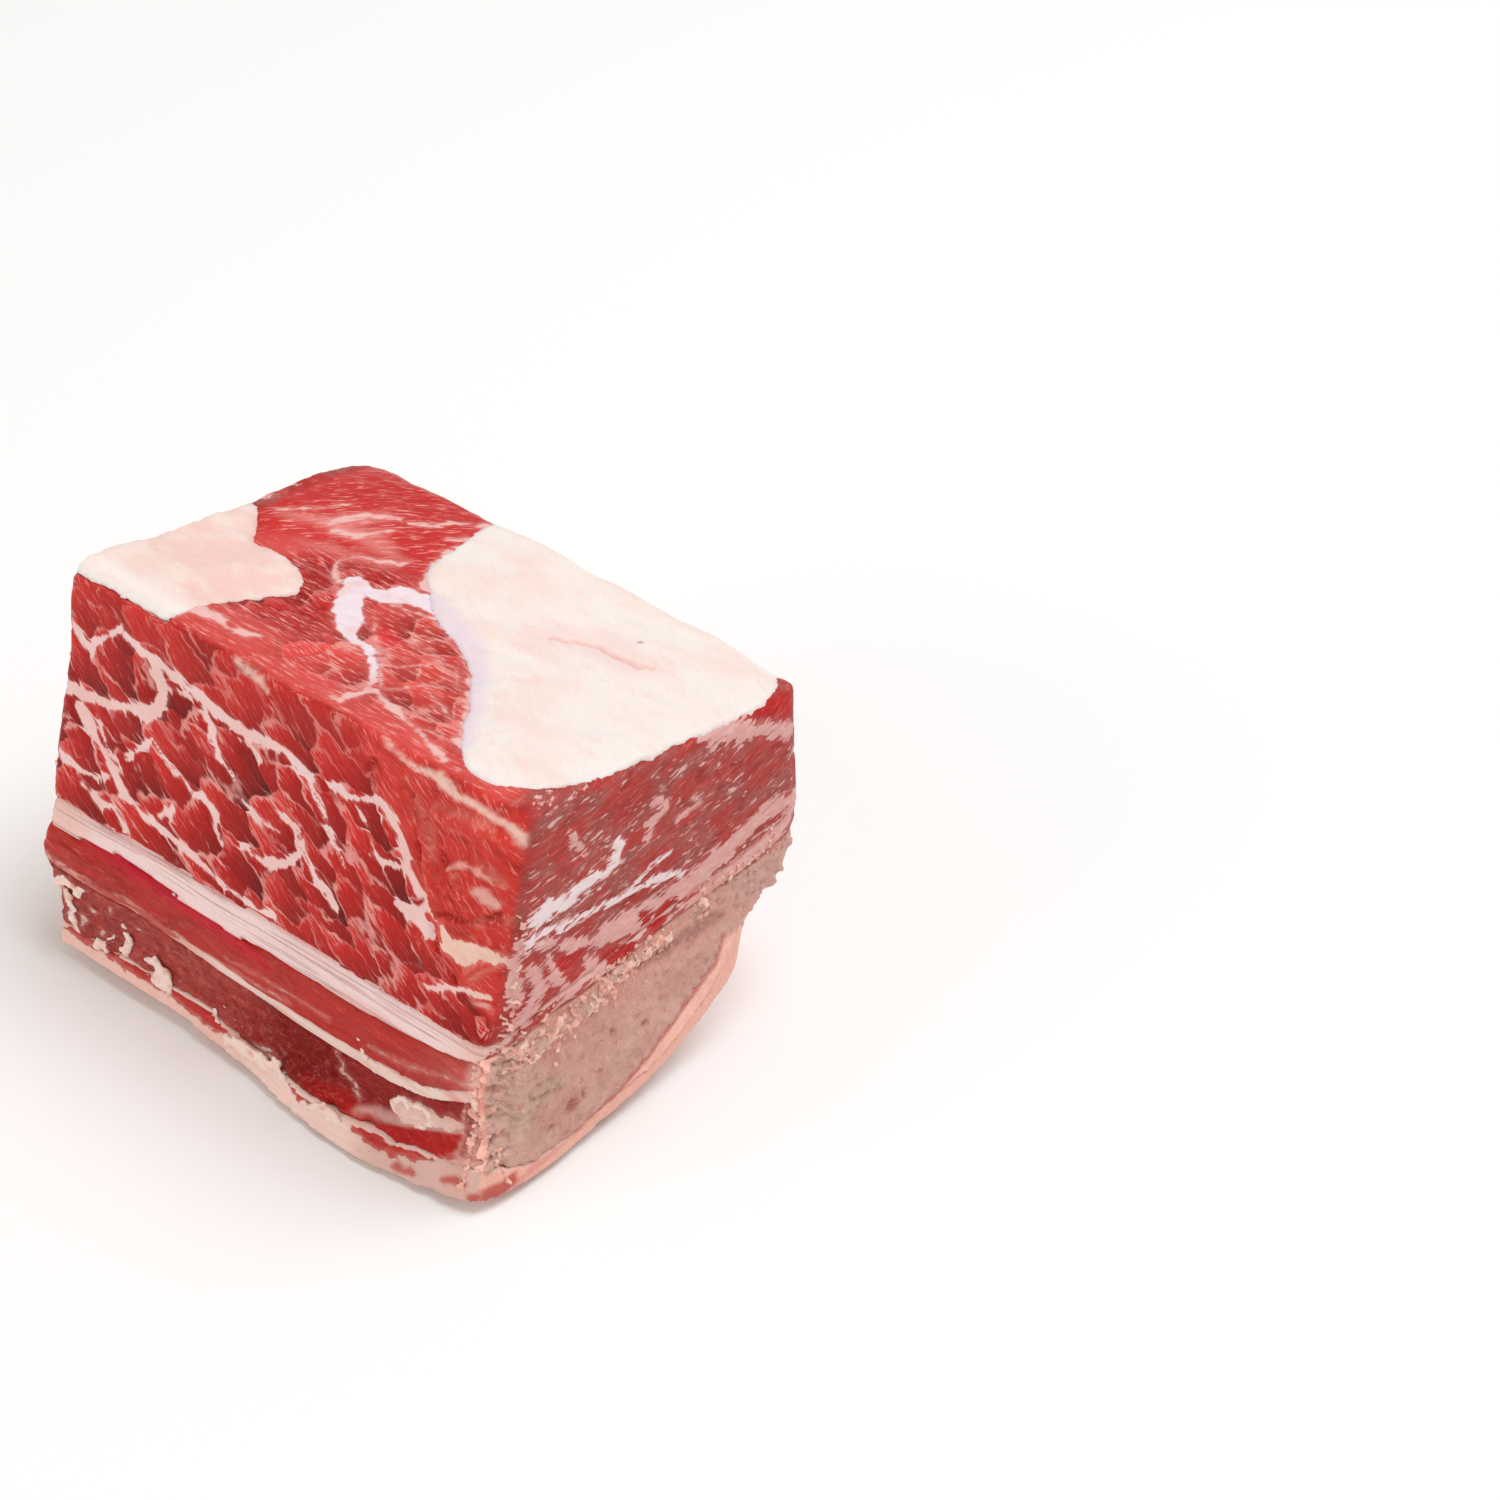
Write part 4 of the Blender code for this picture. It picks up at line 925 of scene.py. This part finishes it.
TOP_VEINS = (
    ((44.2, 6.1, 0.6), (43.9, 3.6, 0.6), (43.9, 1.5, 0.4), (41.4, 1.7, 0.3)),
    ((44.3, 6.9, 0.7), (47.6, 5.6, 0.7), (50.0, 4.8, 0.9), (52.3, 4.4, 0.6), (55.3, 3.4, 0.6),
     (58.2, 2.4, 0.6), (60.9, 1.6, 0.7)),
    ((17.2, 4.1, 1.2), (20.0, 3.9, 1.5), (22.9, 3.6, 0.9), (25.1, 4.0, 1.0), (26.3, 4.8, 0.6)),
    ((26.7, 49.0, 0.8), (26.2, 42.0, 1.2), (27.0, 36.5, 1.8), (30.5, 30.5, 2.4)),
)
TOP_BANDS = (
    ((22.4, 23.0, 0.8), (20.6, 24.0, 1.0), (19.1, 25.8, 0.7), (19.1, 27.4, 0.5), (19.9, 29.0, 0.4),
     (22.1, 30.1, 0.6), (24.0, 31.3, 0.7), (24.5, 33.7, 0.4)),
    ((11.8, 31.7, 1.2), (12.2, 34.0, 1.5), (13.5, 36.3, 1.2), (15.2, 38.1, 0.7), (16.7, 39.0, 0.6)),
    ((13.4, 31.0, 1.2), (15.5, 31.9, 1.2), (17.3, 33.8, 0.6), (18.6, 36.6, 0.6)),
    ((4.8, 29.7, 0.4), (6.8, 32.2, 0.4), (8.7, 34.8, 0.4), (10.0, 37.1, 0.4)),
    ((18.3, 39.6, 0.4), (20.2, 41.3, 0.7), (21.0, 44.2, 0.9), (22.4, 46.4, 0.6)),
    ((23.5, 46.4, 0.6), (24.0, 47.4, 1.2), (23.9, 48.6, 0.6)),
    ((23.7, 40.7, 0.4), (24.7, 41.8, 0.7), (25.0, 43.8, 0.4)),
)
BACK_HAZE = (
    ((12.8, 25.5, 1.6), (16.3, 27.3, 2.4), (20.3, 28.6, 2.4), (23.3, 30.1, 1.6)),
    ((6.7, 29.7, 1.0), (10.5, 31.3, 2.2), (14.4, 32.7, 2.8), (19.9, 32.6, 2.4), (23.3, 32.7, 1.2)),
    ((11.8, 34.0, 1.5), (15.2, 38.1, 1.6)),
)
TOP_CELLS = (
    ((28.0, 23.7, 0.4), (29.9, 24.3, 0.4), (32.8, 24.5, 0.4), (35.9, 25.2, 0.4), (39.2, 24.6, 0.4)),
    ((31.0, 20.1, 0.4), (35.0, 16.7, 0.3), (39.6, 13.0, 0.3), (44.7, 7.5, 0.4)),
    ((44.0, 6.5, 0.3), (46.0, 9.0, 0.3), (47.5, 12.0, 0.3), (47.8, 15.5, 0.2)),
    ((40.0, 11.0, 0.3), (42.5, 13.5, 0.3), (44.0, 17.0, 0.2)),
    ((38.0, 20.4, 0.2), (41.1, 19.9, 0.3), (44.5, 18.0, 0.3), (46.6, 18.5, 0.2), (50.8, 14.9, 0.2)),
    ((48.2, 11.6, 0.2), (51.7, 10.5, 0.3), (56.2, 8.4, 0.2)),
)
TOP_CREASE = (
    (28.3, 1.1, 0.6), (29.6, 2.6, 0.6), (31.3, 3.9, 0.6), (32.6, 6.0, 0.6), (33.0, 9.1, 0.6),
    (34.0, 11.4, 0.6))
TOP_SPOT = ((31.6, 18.9, 0.8), (34.4, 18.7, 2.2), (36.6, 18.5, 1.4))
PATCH_FRINGE = (
    (12.8, 0.0, 1.2), (15.7, 0.5, 1.2), (16.8, 2.7, 1.8), (18.6, 3.6, 2.1), (20.4, 3.7, 1.2),
    (22.4, 3.8, 0.7))
LEAN_RED = tone(186, 34, 28)
LEAN_DARK = tone(134, 12, 14)
TOP_LIT_RED = tone(218, 84, 78)
TOP_EYE_RED = tone(204, 68, 62)
TOP_DEEP = tone(182, 38, 36)
TOP_BACK = tone(205, 54, 52)
SPOT_RED = tone(214, 34, 44)
DROP_RED = tone(178, 12, 22)
KNOB_HIGHLIGHT_SALMON = tone(232, 140, 124)
VEIN_WHITE = tone(246, 212, 209)
VEIN_PINK = tone(240, 190, 184)
PLATE_CREAM = tone(248, 206, 187)
EDGE_CREAM = tone(255, 216, 202)
KNOB_RED = tone(220, 66, 56)
SKIN_LILAC = tone(244, 226, 232)

lean = fine_copy("marbled_lean", "marbled_beef", LEAN_GRAIN, 3)
places = in_block(lean)
shares = facing(lean)
along, across, up = places.T
flank = shares["near_flank"] + shares["far_flank"]
cut = shares["near_cut"] + shares["far_cut"]
lying = shares["top"] + shares["under"]
rim = lying * (rise(along, 71.5, 73.5) + 1 - rise(along, 2.0, 4.0))
cut = cut + rim
bed = rise(up, *BED_FLOOR) * between(across, *BED_ACROSS) * between(along, *BED_ALONG)
flank = flank * (1 - bed)
cut = cut * (1 - bed)
lying = 1 - flank - cut
wander = ripple(places, (3.0, 3.0, 3.0), 41, 1)
wander_up = ripple(places, (3.0, 3.0, 3.0), 42, 1)
fray = ripple(places, (1.0, 1.0, 0.7), 43, 1)
broad = ripple(places, (12, 12, 9), 44, 1)

# The two flanks show the same veins, the far one from its other end.
flank_along = np.where(shares["near_flank"] >= shares["far_flank"], along, BLOCK_LENGTH - along)
flank_along = flank_along + 0.35 * wander
flank_up = up + 0.3 * wander_up
knob = rise(flank_along - np.interp(up, *np.array(KNOB_EDGE).T), -0.8, 1.4)
upper_band = rise(up, -9.5, -4.5)
veins = beside(flank_along, flank_up, *FLANK_VEINS) - 0.08 * fray - 0.22 * ripple(places, (2.2, 2.2, 2.2), 61)
knob_veins = beside(flank_along, flank_up, *KNOB_FAT) - 0.2 * fray
fringe = up - SEAM_FRINGE - 0.35 * fray - 0.5 * wander
to_flank_fat = np.minimum(np.minimum(veins, knob_veins), fringe)
creases = beside(flank_along, flank_up, *KNOB_CREASES)
lobes = beside(flank_along + 0.3 * fray, flank_up + 0.3 * fray, *KNOB_LOBES)
painted_highlights = 1 - rise(beside(flank_along, flank_up, *KNOB_PAINTED_HIGHLIGHTS) - 0.25 * fray, -0.35, 0.3)
edge_fat = 1 - rise(beside(flank_along, flank_up, *EDGE_FAT) - 0.3 * fray, -0.45, 0.3)
hollow_shade = rise(lobes, 0.1, 1.2) * rise(ripple(places, (3, 3, 1.6), 62, 1), -0.1, 0.7)
lobe_highlight = np.exp(-((lobes + 0.15) / 0.45) ** 2) * rise(wander + 0.5 * fray, -0.3, 0.5)
flank_tint = painted(
    LEAN_RED,
    (LEAN_DARK, 0.5 * rise(broad, -0.2, 0.8)),
    (LEAN_LIGHT, 0.45 * upper_band),
    (KNOB_RED, 0.75 * knob),
    # painted shade: dark red along the knob's creases
    (LEAN_DARK, 0.5 * (1 - rise(creases, -0.2, 0.6))),
    # painted shade: darker red in the hollows between the knob's raised lobes
    (LEAN_DARK, 0.45 * knob * hollow_shade),
    # painted highlights: salmon along the rims of the knob's raised lobes
    (KNOB_HIGHLIGHT_SALMON, 0.6 * knob * lobe_highlight),
    # painted highlights: pale cream glints on the knob
    (EDGE_CREAM, 0.6 * knob * painted_highlights),
    (EDGE_CREAM, 0.9 * edge_fat))
flank_fat = painted(
    VEIN_WHITE,
    (VEIN_PINK, 0.6 * rise(broad, -0.3, 0.6)),
    (PLATE_CREAM, 0.8 * knob),
    (DROP_RED, inside(flank_along + 0.2 * fray, flank_up + 0.2 * fray, -0.2, 0.1, RED_DROP)))
flank_lift = 0.26 * rise(to_flank_fat, -0.1, 0.9) - 0.6 * (1 - rise(creases, -0.2, 0.6))
flank_lift += 1.05 * knob * (1 - rise(lobes, -0.8, 0.2))
flank_lift += 0.6 * knob * np.exp(-((along - KNOB_HUMP[0]) ** 2 + (up - KNOB_HUMP[1]) ** 2) / 14)
flank_lift += 0.3 * knob * ripple(places, (3.4, 3, 1.8), 51, 1)

# The top has a round eye of lean by the cap of fat, a deeper red patch before it, and hazy flesh behind.
top_along = along + 0.5 * wander
top_across = across + 0.4 * wander_up
back = rise(across - 0.35 * along, 18, 24)
eye = rise(along, 27, 33) * rise(across, 2, 6) * (1 - back)
deep = between(along, *DEEP_ALONG) * rise(across, 6, 10) * (1 - back)
to_top_fat = beside(top_along, top_across, CAP_BORDER, CAP_BRANCH, PATCH_FRINGE, *TOP_VEINS)
to_top_fat = to_top_fat - 0.45 * fray + 0.5 * wander_up
to_thin_fat = beside(top_along, top_across, *TOP_CELLS, *TOP_BANDS) + 0.12 - 0.3 * fray
to_top_fat = np.minimum(to_top_fat, to_thin_fat)
spot = inside(top_along, top_across, -0.6, 1.0, TOP_SPOT)
haze = 1 - rise(beside(top_along, top_across, *BACK_HAZE) - 0.7 * wander, -1.6, 1.8)
clumps = ripple(places, (2.2, 1.6, 2.0), 52, 1)
# The top's base red is painted lighter and pinker than the flanks' red: painted light and sheen on the side
# facing the lamps.
top_tint = painted(
    TOP_LIT_RED,
    (TOP_EYE_RED, eye),
    (TOP_DEEP, 0.8 * deep),
    (LEAN_DARK, 0.5 * deep * rise(-clumps, -0.1, 0.5)),
    (TOP_BACK, back),
    (LEAN_PALE, 0.6 * haze * back),
    (SPOT_RED, 0.9 * spot))
skin = inside(top_along, top_across, 0.2, 1.2, CAP_BORDER, CAP_BRANCH) * (1 - rise(along, 40, 44))
top_fat = mixed(VEIN_PINK, SKIN_LILAC, skin * (1 - 0.5 * rise(wander, 0.0, 0.8)))
whitish = np.exp(-((along - WHITISH_PLACE[0]) ** 2 + (across - WHITISH_PLACE[1]) ** 2) / 60)
top_pale = 0.95 + 0.15 * eye + 0.1 * deep + 0.4 * whitish * back
top_leafy = 0.8 * eye * (1 - 0.8 * spot) + 0.4 * deep
top_lift = 0.25 * ripple(places, (7, 2.2, 3), 53, 1) + 0.25 * deep * clumps
top_lift -= 0.35 * inside(top_along, top_across, -0.1, 0.8, TOP_CREASE)
top_lift += BED_LAP * bed * (1 - shares["top"])

# The cuts are smeared by the saw, and less rough near their rims.
cut_fat, cut_flesh, cut_smear = cut_paint(places)
cut_lift = (0.14 - 0.1 * rim) * ripple(places, (1.6, 2.4, 0.9), 54, 2)
cut_lift += 0.08 * ripple(places, (0.8, 0.8, 0.8), 55) + 0.16 * (1 - rise(cut_fat, -0.4, 0.4)) * (1 - rim)


def joined(on_flank, on_top, on_cut):
    """What the flanks, the top and the cuts have, joined by how much each point belongs to them."""
    shape = (-1, 1) if np.ndim(on_cut) == 2 else -1
    return flank.reshape(shape) * on_flank + lying.reshape(shape) * on_top + cut.reshape(shape) * on_cut


note(lean, flank=flank, top=lying * (1 - back), back=lying * back, cut=cut,
     leafy=joined((1 - knob) * (1 - 0.4 * upper_band), top_leafy, 0),
     pale=joined(0.14 * upper_band + 0.5 * knob, top_pale, 0.25),
     to_fat=joined(to_flank_fat, to_top_fat, cut_fat),
     tint=joined(flank_tint, top_tint, cut_flesh) * (1 + 0.1 * broad)[:, None],
     fat_tint=joined(flank_fat, top_fat, cut_smear))
swell(lean, LEAN_SWELL + joined(flank_lift, top_lift, cut_lift))
dress(lean, beef_finish, "lean", "marbled_lean")


# The saw left bone meal along the border of bone and flesh on both cuts, and where the strips end at
# the near edge: damp crumbs of many sizes, pressed together into a loose crust.
MEAL_CRUMBS = 1750
MEAL_SIDE_CRUMBS = 170
MEAL_GRAIN = 0.17
MEAL_EDGE = ((2.6, -36.4, 1.8), (1.9, -41.0, 1.2), (1.9, -46.0, 1.3), (2.2, -50.0, 1.5), (4.0, -53.2, 1.4))
MEAL_CORNER = ((1.6, -33.6, 1.6), (1.6, -28.0, 1.4), (1.2, -22.0, 1.0), (1.0, -14.0, 0.6))
MEAL_WEIGHTS = (0.65, 0.15, 0.12, 0.08)
MEAL_NEAR_SHARE = 0.6
MEAL_SPREAD = 0.62
MEAL_STRIP_SPREAD = 0.7
MEAL_STRIP_HEIGHTS = (-54, -36)
MEAL_SMALL = 0.13
MEAL_SIZES = 0.12
MEAL_AIM_FROM = 20
MEAL_PALE = tone(248, 206, 192)

crumbs = bmesh.new()
draw = random.Random(7)
solids = (bone, seam, lean, upper, lower, line_of_fat, membrane)
bpy.context.view_layer.update()
for crumb in range(MEAL_CRUMBS + MEAL_SIDE_CRUMBS):
    if crumb < MEAL_CRUMBS:
        line = draw.choices((BONE_RIDGE, BONE_RIDGE_BEHIND, MEAL_EDGE, MEAL_CORNER), MEAL_WEIGHTS)[0]
        stretch = draw.randrange(len(line) - 1)
        share = draw.random()
        (u, v, wide), (next_u, next_v, next_wide) = line[stretch:stretch + 2]
        off = draw.gauss(0, MEAL_SPREAD) * (wide + 0.6)
        spot = (u + share * (next_u - u) - 0.4 * off, v + share * (next_v - v) + 0.9 * off)
        near = draw.random() < MEAL_NEAR_SHARE
        start = from_block(BLOCK_LENGTH + MEAL_AIM_FROM if near else -MEAL_AIM_FROM, *spot)
        aim = from_block(BLOCK_LENGTH / 2, *spot) - start
    else:
        spot = (STRIP_END - abs(draw.gauss(0, MEAL_STRIP_SPREAD)), draw.uniform(*MEAL_STRIP_HEIGHTS))
        start = from_block(spot[0], -MEAL_AIM_FROM, spot[1])
        aim = from_block(spot[0], MEAL_AIM_FROM, spot[1]) - start
    casts = [solid.ray_cast(start, aim)[:2] for solid in solids]
    landings = [(place - start).length for hit, place in casts if hit]
    if landings:
        size = (MEAL_SMALL + abs(draw.gauss(0, MEAL_SIZES))) * MM
        turn = Euler([draw.uniform(0, 6.3) for side in range(3)]).to_matrix()
        shape = turn @ Matrix.Diagonal([draw.uniform(0.7, 1.3) * size for side in range(3)])
        place = Matrix.Translation(start + aim.normalized() * (min(landings) - 0.1 * size)) @ shape.to_4x4()
        bmesh.ops.create_icosphere(crumbs, subdivisions=1, radius=1.0, matrix=place)
meal = evened(crumbs, "bone_meal", MEAL_GRAIN, 1)
places = in_block(meal)
shades = ripple(places, (1.2, 1.2, 1.2), 8, 1)
note(meal, tint=mixed(BONE_PINK, MEAL_PALE, rise(shades, -0.5, 0.7)), sawn=0.4)
swell(meal, 0.12 * ripple(places, (0.5, 0.5, 0.5), 9))
dress(meal, bone_finish, "bone")


# Two pieces of the outer fat are left on top: a thick creamy cap on the near half, and a thinner,
# pinker patch on the far corner. Both were trimmed flat with a knife.
CAP_GRAIN = 0.42
CAP_SWELL = 0.38
CAP_CREAM = tone(250, 236, 230)
CAP_WARM = tone(250, 226, 216)
CAP_PINK = tone(248, 208, 200)
CAP_LINES = tone(240, 176, 166)
CAP_SPECK = CAP_LINES * 0.3
CAP_LILAC = tone(236, 218, 228)
CAP_CREASE = (
    (49.0, 32.4, 0.3), (51.6, 35.5, 0.5), (54.3, 36.2, 0.5), (58.3, 35.4, 0.5), (61.0, 35.3, 0.6),
    (62.0, 36.8, 0.4))
CAP_DOT = (57.1, 40.4)
CAP_OVERHANG = 1.3
CAP_FLUSH = 0.35
CAP_LAP = 0.6
CAP_FAR_EDGE = ((26.5, 50.0, 1.0), (40.0, 51.5, 2.0), (56.0, 51.5, 1.0))


def fat_look(ink):
    """Firm raw fat: nearly white, waxy, with faint pink swirls."""
    turn = (0, 0, math.radians(-30))
    swirl = ink.grain((9.0, 3.0, 3.0), 3.0, turn, wander=1.6)
    threads = ink.grain((7.0, 1.2, 1.2), 3.0, turn, wander=2.2)
    fine = ink.grain((0.9, 0.9, 0.9), 3.0)
    blush = threads.rise(0.56, 0.72) * 0.3 + swirl.rise(0.5, 0.75) * 0.2
    colour = ink.blend(ink.kept_colour("tint"), CAP_PINK, blush)
    colour = ink.scaled(colour, 0.94 + swirl * 0.06 + fine * 0.04)
    return colour, 0.4 + fine * 0.1, swirl * 0.2 + fine * 0.06 + threads * 0.08


fat_finish = finish("top_fat", fat_look, gloss=0.35, depth=2.0, soft=0.35, spread=(1.0, 0.6, 0.5))

cap = fine_copy("fat_cap", "cap_of_fat", CAP_GRAIN, 3)
places = in_block(cap)
shares = facing(cap)
along, across, up = places.T
swirls = ripple(places, (9, 5, 4), 56, 2)
blush = ripple(places, (5, 4, 3), 57, 1)
nibbled = ripple(places, (1.5, 1.5, 1.2), 58, 1)
border = beside(along + 0.8 * blush, across + 0.8 * blush, CAP_BORDER)
lilac = 1 - rise(border, -0.6, 1.3)
to_crease = beside(along + 0.6 * nibbled, across + 0.6 * blush, CAP_CREASE)
crease = 1 - rise(to_crease, -0.1, 0.4)
far_edge = inside(along + blush, across + 0.8 * blush, 0.0, 2.2, CAP_FAR_EDGE)
inner = shares["near_flank"] + shares["far_cut"]
tint = painted(
    CAP_CREAM,
    (CAP_WARM, rise(swirls, -0.4, 0.8)),
    (CAP_PINK, 0.45 * rise(blush, 0.25, 0.9)),
    (CAP_PINK, 0.5 * (1 - rise(to_crease + 1.5 * blush, 0.2, 4.5))),
    (CAP_LILAC, np.clip(0.8 * lilac + 0.6 * inner, 0, 1)),
    (CAP_PINK, 0.5 * far_edge),
    (CAP_LINES, 0.55 * crease),
    (CAP_SPECK, 0.8 * (1 - rise(np.hypot(along - CAP_DOT[0], across - CAP_DOT[1]), 0.15, 0.5))))
note(cap, tint=tint)
drawn(cap, 0, CAP_OVERHANG * rise(along, 64, 74) * (1 + 0.12 * nibbled))
side = 1 - shares["top"]
flush = CAP_FLUSH * (1 - rise(border, 0.3, 3.4)) * (1 - rise(along, 62, 68))
relief = 0.32 * swirls - 0.4 * crease + 0.08 * side * nibbled
swell(cap, CAP_SWELL * (1 - 0.7 * side) + relief + CAP_LAP * inner - flush)
dress(cap, fat_finish, "top_fat", "fat_cap")

patch = fine_copy("fat_patch", "patch_of_fat", CAP_GRAIN, 3)
places = in_block(patch)
shares = facing(patch)
along, across, up = places.T
swirls = ripple(places, (6, 4, 4), 59, 2)
nibbled = ripple(places, (1.5, 1.5, 1.2), 60, 1)
tint = mixed(CAP_PINK, CAP_WARM, rise(swirls, -0.3, 0.6))
note(patch, tint=mixed(CAP_CREAM, tint, rise(across + 0.6 * swirls, 1.0, 4.5)))
side = 1 - shares["top"]
inner = shares["far_flank"] + shares["near_cut"] + 0.5 * shares["near_flank"]
swell(patch, CAP_SWELL * (1 - 0.8 * side) + 0.26 * swirls + 0.25 * side * nibbled + CAP_LAP * inner)
dress(patch, fat_finish, "top_fat", "fat_patch")


# The meat lies on a plain pale table under soft studio light: one large lamp above and a little behind
# it, and a weaker one in front. The camera looks at it from the photo's angle.
FLOOR_SIZE = 3.0
FLOOR_WHITE = (0.97, 0.97, 0.965, 1.0)
FLOOR_ROUGHNESS = 0.8
LIT_PLACE = Vector((0, 0, 0.03))
ROOM_COLOUR = (1.0, 0.93, 0.86, 1.0)
ROOM_LIGHT = 0.48
EYE_AZIMUTH = math.radians(40.855)
EYE_HEIGHT = math.radians(37.421)
EYE_PLACE = BLOCK_CORNER + Vector((0.35715, -0.28638, 0.31589))
EYE_LENS = 106.8
EYE_SENSOR = 36

table = bmesh.new()
bmesh.ops.create_grid(table, x_segments=1, y_segments=1, size=FLOOR_SIZE)
table_data = bpy.data.meshes.new("table")
table.to_mesh(table_data)
table.free()
floor = set_down("table", table_data)
matt = bpy.data.materials.new("matt_white")
matt.use_nodes = True
paint = matt.node_tree.nodes["Principled BSDF"].inputs
paint["Base Color"].default_value = FLOOR_WHITE
paint["Roughness"].default_value = FLOOR_ROUGHNESS
paint["Specular IOR Level"].default_value = 0.0
table_data.materials.append(matt)


def softbox(name, place, size, power, colour):
    """A square studio light that shines from place at the meat."""
    light = bpy.data.lights.new(name, "AREA")
    light.shape = "SQUARE"
    light.size = size
    light.energy = power
    light.color = colour
    lamp = set_down(name, light)
    lamp.location = place
    lamp.rotation_euler = (LIT_PLACE - Vector(place)).to_track_quat("-Z", "Y").to_euler()


softbox("overhead", (0.32, 0.28, 1.12), 0.75, 9.2, (0.94, 1.0, 1.05))
softbox("front_fill", (-0.45, -1.1, 0.35), 0.8, 4.5, (1.0, 0.98, 0.96))

world = bpy.data.worlds.new("studio")
world.use_nodes = True
room = world.node_tree.nodes["Background"].inputs
room["Color"].default_value = ROOM_COLOUR
room["Strength"].default_value = ROOM_LIGHT
bpy.context.scene.world = world
bpy.context.scene.view_settings.view_transform = "Standard"

lens = bpy.data.cameras.new("photo_view")
lens.lens = EYE_LENS
lens.sensor_width = EYE_SENSOR
lens.sensor_fit = "HORIZONTAL"
lens.clip_start = 0.01
eye = set_down("photo_view", lens)
eye.location = EYE_PLACE
eye.rotation_euler = Euler((math.pi / 2 - EYE_HEIGHT, 0, EYE_AZIMUTH))
bpy.context.scene.camera = eye
